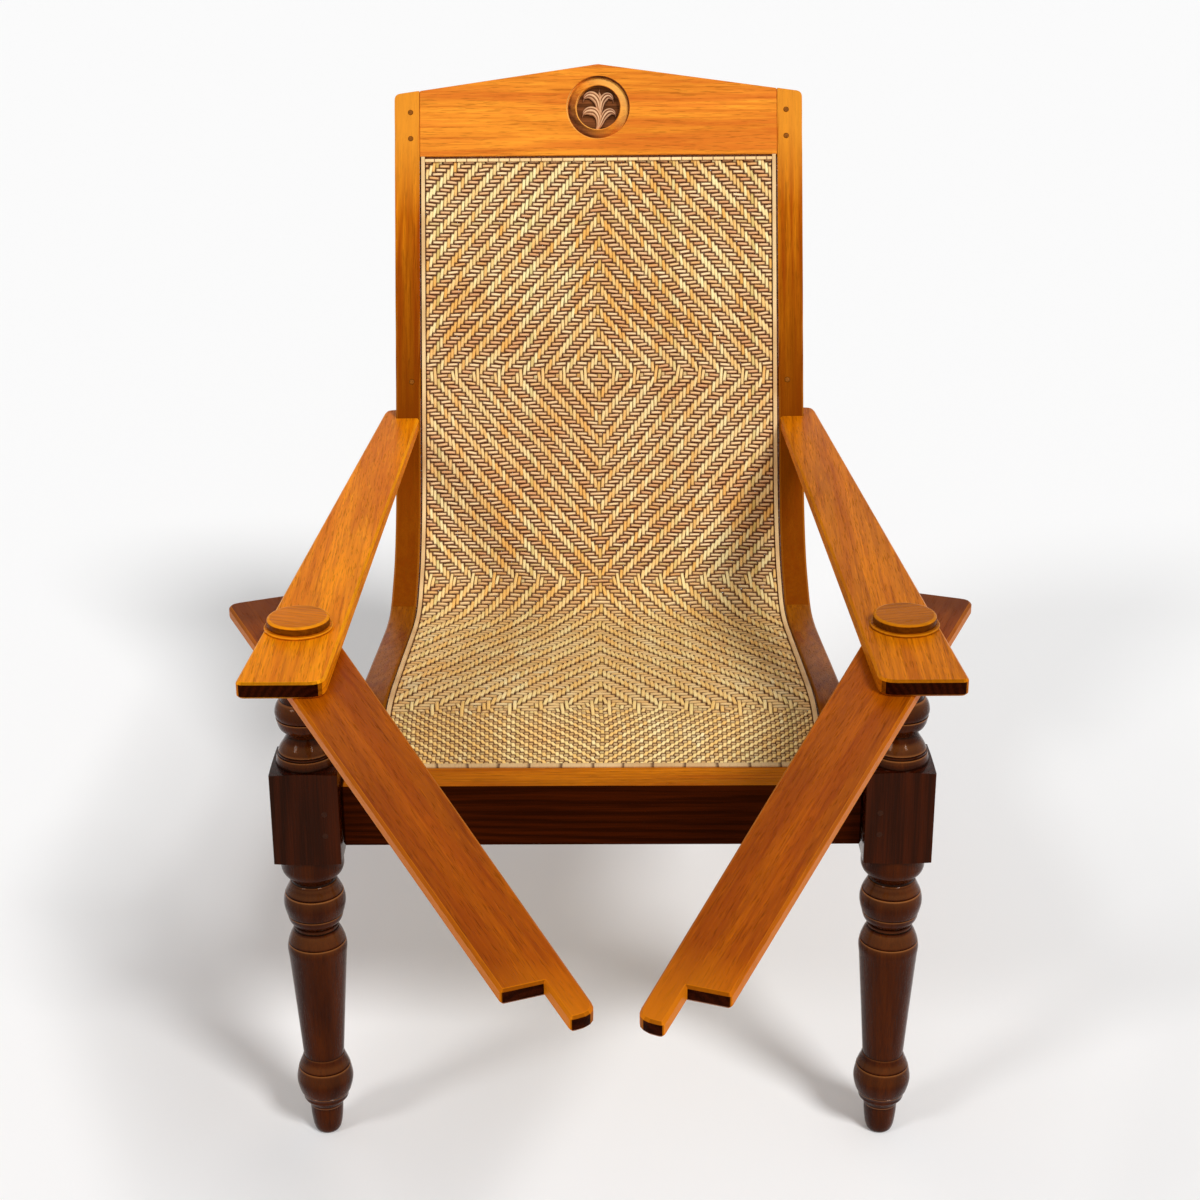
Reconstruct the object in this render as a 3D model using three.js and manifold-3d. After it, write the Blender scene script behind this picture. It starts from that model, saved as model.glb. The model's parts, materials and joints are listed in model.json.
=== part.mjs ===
import * as THREE from 'three';
import { mergeVertices } from 'three/addons/utils/BufferGeometryUtils.js';
import Module from 'manifold-3d';

// A planter's chair in varnished teak: a low reclining frame with a woven cane seat, long flat
// arms, turned front legs, and two leg-rest leaves that swing out from under the arms.
// Millimetres. X runs to the sitter's left, Y to the back and Z up. The pieces are set out
// from the floor, midway between the axes of the front legs.

// Overall sizes
const armHeight = 633;
const armReach = 745;
const frameWidth = 560;
const recline = 22.2;
const backLength = 446;
const pedimentRise = 40;
const crestHeight = 86;

// Joints and edges
const clearance = 0.3;
const overrun = 20;
const edgeRound = 2.5;
const cornerSteps = 5;
const easeSteps = 1;

// Side frames
const postThickness = 34;
const postDepth = 44;
const postCorner = 8;
const sideRailDepth = 46;
const rearFootReach = 812;
const rearFootDepth = 40;
const rearLegRake = 13;

// Rails
const railTop = 452;
const railDepth = 72;
const railThickness = 44;
const railSetback = 15;
const crestThickness = 27;
const backRailRise = 30;
const backRailHeight = 40;
const backRailThickness = 22;
const backRailSetback = 14;
const stretcherHeight = 38;
const stretcherThickness = 22;

// Tenons and pegs
const tenonLength = 26;
const tenonThickness = 14;
const frontTenonHeight = 48;
const sideTenonHeight = 24;
const crestTenonHeight = 54;
const backTenonHeight = 28;
const stretcherTenonHeight = 26;
const pegDiameter = 7;
const pegProud = 0.4;
const pegEase = 0.6;
const framePegLength = 32;
const legPegLength = 50;
const armPegLength = 36;
const pegInset = 12;
const legPegInset = 16;
const legPegSpacing = 26;
const crestPegSpacing = 36;

// Seat line and cane
const frontSwell = 30;
const seatDrop = 28;
const caneRecess = 1.6;
const caneThickness = 3.6;
const beadingWidth = 7;
const beadingThickness = 3;

// Arms
const armThickness = 18;
const armOverhang = 144;
const armInsidePivot = 43;
const armOutsidePivot = 47.5;
const armInsidePost = 32;
const armOutsidePost = 20;
const armEar = 42;
const armInnerCorner = 18;
const armOuterCorner = 10;
const armEarCorner = 14;

// Leg-rest leaves
const leafThickness = 14;
const leafGap = 0.4;
const leafTail = 142;
const leafShoulder = 727;
const leafFinger = 56;
const leafTailInner = 44;
const leafTailOuter = 46;
const leafShoulderOuter = 36;
const leafFingerInner = 24;
const leafTailCorner = 15;
const leafFingerCorner = 18;
const leafSmallCorner = 4;
const leafAngleRight = 22.2;
const leafAngleLeft = 20.6;

// Pivot pins
const pinDiameter = 22;
const pinDepth = 45;
const pinEase = 2;
const knobDiameter = 74;
const knobTopDiameter = 67;
const knobHeight = 13;
const knobFlange = 3;
const knobRound = 2.5;

// Front legs
const legOutset = 41;
const legStock = 74;
const blockTop = 477;
const blockBottom = 367;
const blockSlope = 1.6;

// Roundel turned in the crest rail
const roundelRise = 66;
const roundelDiameter = 86;
const roundelFloorDiameter = 60;
const roundelRimDepth = 1;
const roundelBandDepth = 5;
const roundelFloorDepth = 8;

// Facets round each kind of turning
const legFacets = 18;
const knobFacets = 28;
const boreFacets = 18;
const pegFacets = 10;

const wasm = await Module();
wasm.setup();

// Materials
const finish = (color, roughness) => new THREE.MeshStandardMaterial({ color, roughness, metalness: 0 });
const brightTeak = finish(0xb8641e, 0.35);
const frameTeak = finish(0x8f4a1a, 0.38);
const darkTeak = finish(0x5a2812, 0.3);
const pegWood = finish(0x3c1c0d, 0.5);
const wovenCane = finish(0xd9b877, 0.6);
const beadingCane = finish(0xcfae78, 0.6);

// Joining and cutting solids
function solidOf(geometry) {
  const bare = geometry.clone();
  bare.deleteAttribute('normal');
  bare.deleteAttribute('uv');
  const merged = mergeVertices(bare);
  const index = Array.from(merged.index.array);
  const triVerts = [];
  for (let i = 0; i < index.length; i += 3) {
    const [a, b, c] = index.slice(i, i + 3);
    if (a !== b && b !== c && c !== a) {
      triVerts.push(a, b, c);
    }
  }
  return new wasm.Manifold(new wasm.Mesh({
    numProp: 3,
    vertProperties: new Float32Array(merged.attributes.position.array),
    triVerts: new Uint32Array(triVerts),
  }));
}

function worked(base, { joined = [], within = [], cut = [] }) {
  let solid = solidOf(base);
  joined.forEach((geometry) => { solid = solid.add(solidOf(geometry)); });
  within.forEach((geometry) => { solid = solid.intersect(solidOf(geometry)); });
  cut.forEach((geometry) => { solid = solid.subtract(solidOf(geometry)); });
  const mesh = solid.getMesh();
  const geometry = new THREE.BufferGeometry();
  geometry.setAttribute('position', new THREE.BufferAttribute(mesh.vertProperties, 3));
  geometry.setIndex(new THREE.BufferAttribute(mesh.triVerts, 1));
  geometry.computeVertexNormals();
  return geometry;
}

// Ranges along an axis
const spread = (centre, size) => [centre - size / 2, centre + size / 2];
const grown = ([low, high]) => [low - clearance, high + clearance];
const onSide = ([low, high], sign) => (sign > 0 ? [low, high] : [-high, -low]);

function block(x, y, z) {
  const geometry = new THREE.BoxGeometry(x[1] - x[0], y[1] - y[0], z[1] - z[0]);
  return geometry.translate((x[0] + x[1]) / 2, (y[0] + y[1]) / 2, (z[0] + z[1]) / 2);
}

// A tenon is a block given by its three ranges, and its mortise the same block with room round it.
const tenon = (ranges) => block(...ranges);
const mortise = (ranges) => block(...ranges.map(grown));

// A body of revolution about Z, from points [radius, height] that start and end on the axis.
function turned(points, facets) {
  const profile = points.map(([radius, height]) => new THREE.Vector2(radius, height));
  return new THREE.LatheGeometry(profile, facets).rotateX(Math.PI / 2);
}

function rod(diameter, [low, high], facets) {
  const radius = diameter / 2;
  return turned([[0, low], [radius, low], [radius, high], [0, high]], facets);
}

// An outline of corners [x, y, radius], each rounded where it has a radius.
function roundedShape(corners) {
  const shape = new THREE.Shape();
  corners.forEach(([x, y, radius], i) => {
    const [beforeX, beforeY] = corners[(i + corners.length - 1) % corners.length];
    const [afterX, afterY] = corners[(i + 1) % corners.length];
    const corner = new THREE.Vector2(x, y);
    const entry = new THREE.Vector2(beforeX, beforeY).sub(corner).setLength(radius).add(corner);
    const exit = new THREE.Vector2(afterX, afterY).sub(corner).setLength(radius).add(corner);
    if (i === 0) {
      shape.moveTo(entry.x, entry.y);
    } else {
      shape.lineTo(entry.x, entry.y);
    }
    if (radius > 0) {
      shape.quadraticCurveTo(x, y, exit.x, exit.y);
    }
  });
  shape.closePath();
  return shape;
}

// A board on its outline in the XY plane, from Z nought up, with its long edges eased.
function board(shape, thickness, ease) {
  return new THREE.ExtrudeGeometry(shape, {
    depth: thickness - 2 * ease,
    curveSegments: cornerSteps,
    bevelEnabled: ease > 0,
    bevelThickness: ease,
    bevelSize: ease,
    bevelOffset: -ease,
    bevelSegments: easeSteps,
  }).translate(0, 0, ease);
}

// A member sawn to an outline in the YZ plane, over a range across the chair.
const acrossChair = new THREE.Matrix4().set(0, 0, 1, 0, 1, 0, 0, 0, 0, 1, 0, 0, 0, 0, 0, 1);
function sawn(outline, [low, high], ease) {
  return board(new THREE.Shape(outline), high - low, ease).applyMatrix4(acrossChair).translate(low, 0, 0);
}

// The seat line is the front and top face of the side frames, from the front rail to the top of
// the back. A row is a share of the run to the posts, then a share of the height that it follows.
const runInShares = [[-0.06, -0.56]];
const swellShares = [[0, 0], [0.1, 0.93], [0.16, 1], [0.342, 0.37]];
const hollowShares = [[0.559, 0.54], [0.686, 1], [0.753, 0.93]];
const bendShares = [[0.807, 0.086], [0.86, 0.191], [0.926, 0.455], [1, 1]];
const railBack = railThickness - railSetback;
const seatRun = armReach - railBack;
const seatLow = railTop - seatDrop;
const lean = THREE.MathUtils.degToRad(recline);
const caneTop = backLength - crestHeight;
const backSpans = 3;
const backPlaces = [
  ...Array.from({ length: backSpans }, (_, i) => (caneTop * (i + 1)) / backSpans),
  backLength,
  backLength + pedimentRise + overrun,
];
const alongRun = (share) => railBack + share * seatRun;
const seatControls = [
  ...[...runInShares, ...swellShares].map(([run, rise]) => [alongRun(run), railTop + rise * frontSwell]),
  ...hollowShares.map(([run, drop]) => [alongRun(run), railTop - drop * seatDrop]),
  ...bendShares.map(([run, rise]) => [alongRun(run), seatLow + rise * (armHeight - seatLow)]),
  ...backPlaces.map((up) => [armReach + up * Math.sin(lean), armHeight + up * Math.cos(lean)]),
];
const frontControl = runInShares.length;
const seamControl = frontControl + swellShares.length + hollowShares.length - 1;
const armControl = seamControl + bendShares.length;
const caneTopControl = armControl + backSpans;
const lastControl = seatControls.length - 1;
const seatCurve = new THREE.CatmullRomCurve3(
  seatControls.map(([y, z]) => new THREE.Vector3(0, y, z)), false, 'centripetal');

const stepsPerSpan = 3;
function seatPlace(control) {
  const share = control / lastControl;
  const place = seatCurve.getPoint(share);
  const along = seatCurve.getTangent(share);
  return { y: place.y, z: place.z, alongY: along.y, alongZ: along.z };
}

function seatStretch(from, to) {
  const count = (to - from) * stepsPerSpan;
  return Array.from({ length: count + 1 }, (_, i) => seatPlace(from + i / stepsPerSpan));
}

// The seat line moved away from the sitter: below the seat and behind the back.
const below = (stretch, depth) => stretch.map(
  ({ y, z, alongY, alongZ }) => new THREE.Vector2(y + alongZ * depth, z - alongY * depth));
const seatStrip = (stretch, near, far) => [...below(stretch, near), ...below(stretch, far).reverse()];

// The plane of the back has X across, Y up the slope and Z towards the sitter, from the arms' height.
const backTilt = Math.PI / 2 - lean;
const backPlane = new THREE.Matrix4().makeRotationX(backTilt).setPosition(0, armReach, armHeight);
const inBackPlane = (geometry) => geometry.applyMatrix4(backPlane);

const postOuter = frameWidth / 2;
const postInner = postOuter - postThickness;
const postMiddle = (postInner + postOuter) / 2;
const pivotX = postOuter + legOutset;
const blockInner = pivotX - legStock / 2;
const seam = seatPlace(seamControl);
const railMiddle = railTop - railDepth / 2;
const railCentre = railBack - railThickness / 2;

// Rear legs: each edge is a bend from the side frame that straightens down to the foot.
const rake = THREE.MathUtils.degToRad(rearLegRake);
const heelBendShare = 0.24;
const heelRunShare = 0.54;
const kneeBendShare = 0.48;
const kneeRunShare = 0.4;
const legEdge = (start, startAlong, startPull, foot, footPull) => new THREE.CubicBezierCurve(
  start,
  start.clone().addScaledVector(startAlong, startPull),
  foot.clone().add(new THREE.Vector2(-Math.sin(rake) * footPull, Math.cos(rake) * footPull)),
  foot);
const [armBack] = below([seatPlace(armControl)], postDepth);
const [kneeUnderside] = below([seam], sideRailDepth);
const heelEdge = legEdge(
  armBack, new THREE.Vector2(-Math.sin(lean), -Math.cos(lean)), heelBendShare * armHeight,
  new THREE.Vector2(rearFootReach + rearFootDepth, 0), heelRunShare * armHeight);
const kneeEdge = legEdge(
  kneeUnderside, new THREE.Vector2(seam.alongY, seam.alongZ), kneeBendShare * (rearFootReach - seam.y),
  new THREE.Vector2(rearFootReach, 0), kneeRunShare * armHeight);
const legEdgeSteps = 9;

// Cross rails lie between the side frames, and their tenons run into both.
const railTenons = (y, z, face) => [1, -1].map((sign) => [
  onSide([face - overrun, face + tenonLength], sign), y, z]);
const frontTenons = railTenons(
  spread(railCentre, tenonThickness), spread(railMiddle, frontTenonHeight), blockInner);
const crestBottom = caneTop;
const crestMiddle = crestBottom + crestHeight / 2;
const crestTenons = railTenons(
  spread(crestMiddle, crestTenonHeight), spread(-crestThickness / 2, tenonThickness), postInner);
const backRailMiddle = backRailRise + backRailHeight / 2;
const backRailCentre = -backRailSetback - backRailThickness / 2;
const backTenons = railTenons(
  spread(backRailMiddle, backTenonHeight), spread(backRailCentre, tenonThickness), postInner);
const stretcherShare = 0.55;
const stretcherPlace = heelEdge.getPoint(stretcherShare).lerp(kneeEdge.getPoint(stretcherShare), 0.5);
const stretcherTenons = railTenons(
  spread(stretcherPlace.x, tenonThickness), spread(stretcherPlace.y, stretcherTenonHeight), postInner);

function sideTenons(sign) {
  const x = onSide(spread(postMiddle, tenonThickness), sign);
  const fromSeat = (top) => spread(top - sideRailDepth / 2, sideTenonHeight);
  return {
    front: [x, [railBack - tenonLength, railBack + overrun], fromSeat(railTop)],
    rear: [x, [seam.y - overrun, seam.y + tenonLength], fromSeat(seam.z)],
  };
}

// Pegs, each with the frame that it is set in: along Z, head up, from its own position and turn.
const headForward = new THREE.Euler(Math.PI / 2, 0, 0);
const headLeft = new THREE.Euler(0, Math.PI / 2, 0);
const headRight = new THREE.Euler(0, -Math.PI / 2, 0);
const headOut = (sign) => (sign > 0 ? headLeft : headRight);
const armFrontInner = pivotX - armInsidePivot;
const armFrontOuter = pivotX + armOutsidePivot;
const armEdgeAt = (y, front, rear) => THREE.MathUtils.mapLinear(y, -armOverhang, armReach, front, rear);
const armInnerAt = (y) => armEdgeAt(y, armFrontInner, postOuter - armInsidePost);
const armOuterAt = (y) => armEdgeAt(y, armFrontOuter, postOuter + armOutsidePost);
const armPegReach = armReach + armEar / 2;

function pegFrame(position, turn) {
  return new THREE.Matrix4().makeRotationFromEuler(turn).setPosition(position);
}

function inBack(x, up) {
  return backPlane.clone().multiply(new THREE.Matrix4().makeTranslation(x, up, 0));
}

function pegsOf(name, sign) {
  const peg = (kind, holds, frame, length) => ({ node: `${kind}_${name}`, holds, frame, length });
  const legPeg = (rise) => pegFrame(
    new THREE.Vector3(sign * (blockInner + legPegInset), -legStock / 2, railMiddle + rise), headForward);
  const crestPeg = (rise) => inBack(sign * (postInner + pegInset), crestMiddle + rise);
  const seamPeg = new THREE.Vector3(sign * postOuter, seam.y + tenonLength / 2, seam.z - sideRailDepth / 2);
  const armPeg = new THREE.Vector3(
    sign * armOuterAt(armPegReach), armPegReach, armHeight - armThickness / 2);
  return [
    peg('leg_peg_upper', 'leg', legPeg(legPegSpacing / 2), legPegLength),
    peg('leg_peg_lower', 'leg', legPeg(-legPegSpacing / 2), legPegLength),
    peg('crest_peg_upper', 'crest', crestPeg(crestPegSpacing / 2), framePegLength),
    peg('crest_peg_lower', 'crest', crestPeg(-crestPegSpacing / 2), framePegLength),
    peg('back_rail_peg', 'backRail', inBack(sign * (postInner + pegInset), backRailMiddle), framePegLength),
    peg('side_rail_peg', 'seam', pegFrame(seamPeg, headOut(sign)), framePegLength - pegProud),
    peg('arm_peg', 'arm', pegFrame(armPeg, headOut(sign)), armPegLength),
  ];
}
const pegs = { left: pegsOf('left', 1), right: pegsOf('right', -1) };
const allPegs = [...pegs.left, ...pegs.right];
const holeOf = ({ frame, length }) => rod(
  pegDiameter + 2 * clearance, [-length - clearance, overrun], pegFacets).applyMatrix4(frame);
const holesFor = (list, ...kinds) => list.filter(({ holds }) => kinds.includes(holds)).map(holeOf);

// Side frames
function sideRail({ name, sign }) {
  const { front, rear } = sideTenons(sign);
  const x = onSide([postInner, postOuter], sign);
  const outline = seatStrip(seatStretch(0, seamControl + 1), 0, sideRailDepth);
  const between = [railBack + clearance, seam.y - clearance];
  const trimmed = worked(sawn(outline, x, edgeRound), {
    within: [block(grown(x), between, [0, armHeight])],
  });
  return worked(trimmed, { joined: [tenon(front), tenon(rear)], cut: holesFor(pegs[name], 'seam') });
}

function backPost({ name, sign }) {
  const x = onSide([postInner, postOuter], sign);
  const stretch = seatStretch(seamControl - 1, lastControl);
  const back = below(seatStretch(armControl, lastControl), postDepth).reverse();
  const heel = heelEdge.getPoints(legEdgeSteps).slice(1);
  const knee = kneeEdge.getPoints(legEdgeSteps).reverse();
  const toe = below([seatPlace(seamControl - 1)], sideRailDepth);
  const outline = [...below(stretch, 0), ...back, ...heel, ...knee, ...toe];
  const head = roundedShape([
    [0, -2 * armHeight, 0],
    [sign * postOuter, -2 * armHeight, 0],
    [sign * postOuter, backLength, postCorner],
    [0, backLength + pedimentRise, 0],
  ]);
  const silhouette = inBackPlane(board(head, 2 * armReach, 0).translate(0, 0, -armReach));
  const behindSeam = block(grown(x), [seam.y, 2 * armReach], [0, 2 * armHeight]);
  return worked(sawn(outline, x, edgeRound), {
    within: [silhouette, behindSeam],
    cut: [
      mortise(sideTenons(sign).rear),
      ...[...crestTenons, ...backTenons].map((ranges) => inBackPlane(mortise(ranges))),
      ...stretcherTenons.map(mortise),
      ...holesFor(pegs[name], 'crest', 'backRail', 'seam', 'arm'),
    ],
  });
}

// Cross rails
function frontSeatRail() {
  const x = [-blockInner + clearance, blockInner - clearance];
  const section = roundedShape([
    [-railSetback, railTop - railDepth, 0],
    [railBack, railTop - railDepth, 0],
    [railBack, railTop, 0],
    [-railSetback, railTop, 0],
  ]);
  const body = board(section, x[1] - x[0], edgeRound).applyMatrix4(acrossChair).translate(x[0], 0, 0);
  return worked(body, {
    joined: frontTenons.map(tenon),
    cut: [mortise(sideTenons(1).front), mortise(sideTenons(-1).front), ...holesFor(allPegs, 'leg')],
  });
}

function crestRail() {
  const half = postInner - clearance;
  const slope = pedimentRise / postOuter;
  const topAt = (x) => backLength + pedimentRise - slope * x;
  const face = roundedShape([
    [-half, crestBottom, 0],
    [half, crestBottom, 0],
    [half, topAt(half), 0],
    [0, topAt(0), postCorner],
    [-half, topAt(half), 0],
  ]);
  const floor = roundelFloorDiameter / 2;
  const outer = roundelDiameter / 2;
  const roundel = turned([
    [0, -roundelFloorDepth], [floor, -roundelFloorDepth], [floor, -roundelRimDepth],
    [outer, -roundelBandDepth], [outer, overrun], [0, overrun],
  ], knobFacets).translate(0, crestBottom + roundelRise, 0);
  const toBackPlane = backPlane.clone().invert();
  return worked(board(face, crestThickness, edgeRound).translate(0, 0, -crestThickness), {
    joined: crestTenons.map(tenon),
    cut: [roundel, ...holesFor(allPegs, 'crest').map((hole) => hole.applyMatrix4(toBackPlane))],
  });
}

function backRail() {
  const half = postInner - clearance;
  const section = block(
    [-half, half], spread(backRailMiddle, backRailHeight), spread(backRailCentre, backRailThickness));
  const toBackPlane = backPlane.clone().invert();
  return worked(section, {
    joined: backTenons.map(tenon),
    cut: holesFor(allPegs, 'backRail').map((hole) => hole.applyMatrix4(toBackPlane)),
  });
}

function rearStretcher() {
  const half = postInner - clearance;
  const body = block(
    [-half, half], spread(stretcherPlace.x, stretcherThickness), spread(stretcherPlace.y, stretcherHeight));
  return worked(body, { joined: stretcherTenons.map(tenon) });
}

// Front legs. A turning is a list of cuts up the leg: how the cut runs from the last one, then
// its height as a share of the turned length, its radius as a share of half the stock, and for
// a bead or a hollow the radius share at its middle.
const legRound = legStock / 2;
const footTurningShares = [
  ['line', 0, 0.32], ['bead', 0.026, 0.443, 0.415], ['line', 0.1, 0.51],
  ['line', 0.103, 0.554], ['bead', 0.15, 0.784, 0.695], ['line', 0.153, 0.75],
  ['line', 0.157, 0.8], ['bead', 0.24, 0.8, 0.87], ['line', 0.243, 0.765],
  ['line', 0.248, 0.775], ['line', 0.284, 0.638], ['line', 0.29, 0.627],
  ['line', 0.643, 0.876], ['bead', 0.687, 0.876, 0.908], ['line', 0.69, 0.83],
  ['bead', 0.735, 0.676, 0.82], ['line', 0.738, 0.645], ['line', 0.745, 0.645],
  ['bead', 0.79, 0.865, 0.77], ['line', 0.793, 0.835], ['line', 0.797, 0.875],
  ['bead', 0.863, 0.865, 0.932], ['line', 0.866, 0.82], ['line', 0.871, 0.835],
  ['bead', 0.902, 0.69, 0.775], ['line', 0.905, 0.67], ['bead', 0.95, 0.935, 0.83],
  ['line', 1, 0.935],
];
const headTurningShares = [
  ['line', 0, 0.9], ['bead', 0.08, 0.84, 0.9], ['line', 0.085, 0.8], ['line', 0.1, 0.8],
  ['bead', 0.25, 0.56, 0.72], ['line', 0.27, 0.54], ['bead', 0.43, 0.83, 0.77],
  ['line', 0.435, 0.8], ['bead', 0.62, 0.7, 0.84], ['line', 0.64, 0.62],
  ['hollow', 0.8, 0.72, 0.56], ['line', 0.82, 0.8], ['bead', 0.96, 0.8, 0.88], ['line', 1, 0.76],
];
const turningSteps = 3;

function turningPoints(shares, [low, high]) {
  const points = [];
  shares.forEach(([cut, heightShare, radiusShare, middleShare]) => {
    const height = low + heightShare * (high - low);
    const radius = radiusShare * legRound;
    if (cut === 'line') {
      points.push([radius, height]);
      return;
    }
    const [lastRadius, lastHeight] = points[points.length - 1];
    const swell = middleShare * legRound - (lastRadius + radius) / 2;
    for (let i = 1; i <= turningSteps; i += 1) {
      const t = i / turningSteps;
      const bulge = cut === 'bead' ? Math.sqrt(1 - (2 * t - 1) ** 2) : Math.sin(Math.PI * t);
      points.push([
        THREE.MathUtils.lerp(lastRadius, radius, t) + swell * bulge,
        THREE.MathUtils.lerp(lastHeight, height, t),
      ]);
    }
  });
  return [[0, low], ...points, [0, high]];
}

const leafTop = armHeight - armThickness - leafGap;
const leafBottom = leafTop - leafThickness;
const legTop = leafBottom - leafGap;
const pinBottom = legTop - pinDepth;
const pinBore = rod(pinDiameter + 2 * clearance, [pinBottom - clearance, armHeight + overrun], boreFacets);

function frontLeg({ name, sign }) {
  const x = sign * pivotX;
  const corner = legRound * Math.SQRT2;
  const blockTurning = turned([
    [0, blockBottom], [legRound, blockBottom], [corner, blockBottom + blockSlope],
    [corner, blockTop - blockSlope], [legRound, blockTop], [0, blockTop],
  ], 2 * legFacets);
  const square = block(spread(0, legStock), spread(0, legStock), [blockBottom, blockTop]);
  const head = turned(turningPoints(headTurningShares, [blockTop - clearance, legTop]), legFacets);
  const foot = turned(turningPoints(footTurningShares, [0, blockBottom + clearance]), legFacets);
  const leg = worked(worked(square, { within: [blockTurning] }), { joined: [head, foot], cut: [pinBore] });
  return worked(leg.translate(x, 0, 0), {
    cut: [...frontTenons.map(mortise), ...holesFor(pegs[name], 'leg')],
  });
}

// Arms
function arm({ name, sign }) {
  const rear = armReach + armEar;
  const outline = roundedShape([
    [sign * armFrontInner, -armOverhang, armInnerCorner],
    [sign * armFrontOuter, -armOverhang, armOuterCorner],
    [sign * armOuterAt(rear), rear, armEarCorner],
    [sign * armInnerAt(rear), rear, 0],
  ]);
  const postFace = seatStrip(seatStretch(armControl - 1, armControl + 1), -clearance, 2 * postDepth);
  const postNotch = sawn(postFace, onSide([0, postOuter + clearance], sign), 0);
  return worked(board(outline, armThickness, edgeRound).translate(0, 0, armHeight - armThickness), {
    cut: [postNotch, pinBore.clone().translate(sign * pivotX, 0, 0), ...holesFor(pegs[name], 'arm')],
  });
}

// Leg-rest leaves, drawn along X from the pivot: the tail is behind it, and the far end is
// notched to a finger on the side that faces the middle of the chair when the leaf is out.
function leaf({ sign }) {
  const tip = leafShoulder + leafFinger;
  const inward = -sign;
  const outline = roundedShape([
    [-leafTail, inward * leafTailInner, leafSmallCorner],
    [-leafTail, -inward * leafTailOuter, leafTailCorner],
    [leafShoulder, -inward * leafShoulderOuter, leafSmallCorner],
    [leafShoulder, 0, 0],
    [tip, 0, leafSmallCorner],
    [tip, inward * leafFingerInner, leafFingerCorner],
  ]);
  return worked(board(outline, leafThickness, edgeRound), {
    cut: [pinBore.clone().translate(0, 0, -leafBottom)],
  });
}

// Pivot pins, each with a turned knob for a head.
function pivotPin() {
  const shank = pinDiameter / 2;
  const rim = knobDiameter / 2;
  const crown = knobTopDiameter / 2;
  const seat = armHeight + clearance;
  const top = seat + knobHeight;
  return turned([
    [0, pinBottom], [shank - pinEase, pinBottom], [shank, pinBottom + pinEase], [shank, seat],
    [rim - pegEase, seat], [rim, seat + pegEase], [rim, seat + knobFlange], [crown, seat + knobFlange],
    [crown, top - knobRound], [crown - knobRound, top], [0, top],
  ], knobFacets);
}

// Cane: one woven panel, and the beading strips that cover its edges.
const beadingNear = caneRecess - clearance - beadingThickness;
const beadingFar = caneRecess - clearance;
const beadingInner = postInner - clearance - beadingWidth;

const beneathCrest = () => inBackPlane(
  block([-postInner, postInner], [-2 * armHeight, caneTop - clearance], spread(0, 2 * armReach)));

function canePanel() {
  const half = postInner - clearance;
  const stretch = seatStretch(frontControl, caneTopControl);
  const panel = sawn(seatStrip(stretch, caneRecess, caneRecess + caneThickness), [-half, half], 0);
  return worked(panel, { within: [beneathCrest()] });
}

function sideBeading({ sign }) {
  const x = onSide([beadingInner, postInner - clearance], sign);
  const strip = sawn(seatStrip(seatStretch(frontControl, caneTopControl), beadingNear, beadingFar), x, 0);
  return worked(strip, { within: [beneathCrest()] });
}

const beadingSpan = [-beadingInner + clearance, beadingInner - clearance];
function topBeading() {
  const up = [caneTop - clearance - beadingWidth, caneTop - clearance];
  return block(beadingSpan, up, [-beadingFar, -beadingNear]);
}

function frontBeading() {
  const { y, z, alongY, alongZ } = seatPlace(frontControl);
  const corner = (along, depth) => new THREE.Vector2(
    y + alongY * along + alongZ * depth, z + alongZ * along - alongY * depth);
  const outline = [
    corner(clearance, beadingNear), corner(clearance + beadingWidth, beadingNear),
    corner(clearance + beadingWidth, beadingFar), corner(clearance, beadingFar),
  ];
  return sawn(outline, beadingSpan, 0);
}

// Assembly
const chair = new THREE.Group();
const backFrame = new THREE.Group();
backFrame.position.set(0, armReach, armHeight);
backFrame.rotation.x = backTilt;
chair.add(backFrame);

function place(parent, node, geometry, material) {
  const mesh = new THREE.Mesh(geometry, material);
  mesh.name = node;
  parent.add(mesh);
  return mesh;
}

place(chair, 'front_seat_rail', frontSeatRail(), darkTeak);
place(backFrame, 'crest_rail', crestRail(), brightTeak);
place(backFrame, 'back_rail', backRail(), frameTeak);
place(chair, 'rear_stretcher', rearStretcher(), frameTeak);
place(chair, 'cane_panel', canePanel(), wovenCane);
place(backFrame, 'cane_beading_top', topBeading(), beadingCane);
place(chair, 'cane_beading_front', frontBeading(), beadingCane);

const sides = [
  { name: 'left', sign: 1, leafAngle: leafAngleLeft },
  { name: 'right', sign: -1, leafAngle: leafAngleRight },
];
const pegBody = (length) => {
  const radius = pegDiameter / 2;
  return turned([
    [0, -length], [radius, -length], [radius, pegProud - pegEase],
    [radius - pegEase, pegProud], [0, pegProud],
  ], pegFacets);
};
sides.forEach((side) => {
  const { name, sign, leafAngle } = side;
  place(chair, `front_leg_${name}`, frontLeg(side), darkTeak);
  place(chair, `back_post_${name}`, backPost(side), frameTeak);
  place(chair, `side_rail_${name}`, sideRail(side), frameTeak);
  place(chair, `arm_${name}`, arm(side), brightTeak);
  place(chair, `cane_beading_${name}`, sideBeading(side), beadingCane);

  const leafMesh = place(chair, `leg_rest_leaf_${name}`, leaf(side), brightTeak);
  leafMesh.position.set(sign * pivotX, 0, leafBottom);
  leafMesh.rotation.z = -Math.PI / 2 - sign * THREE.MathUtils.degToRad(leafAngle);

  const pin = place(chair, `pivot_pin_${name}`, pivotPin(), brightTeak);
  pin.position.x = sign * pivotX;

  pegs[name].forEach(({ node, frame, length }) => {
    const peg = place(chair, node, pegBody(length), pegWood);
    frame.decompose(peg.position, peg.quaternion, peg.scale);
  });
});

// The finished chair stands on the floor with the middle of its depth on the origin.
chair.updateMatrixWorld(true);
const bounds = new THREE.Box3().setFromObject(chair);
chair.position.y = -(bounds.min.y + bounds.max.y) / 2;

export default chair;
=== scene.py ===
"""Planter's chair: the finished timber, turnings, carving and woven cane over the packed frame."""

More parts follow.
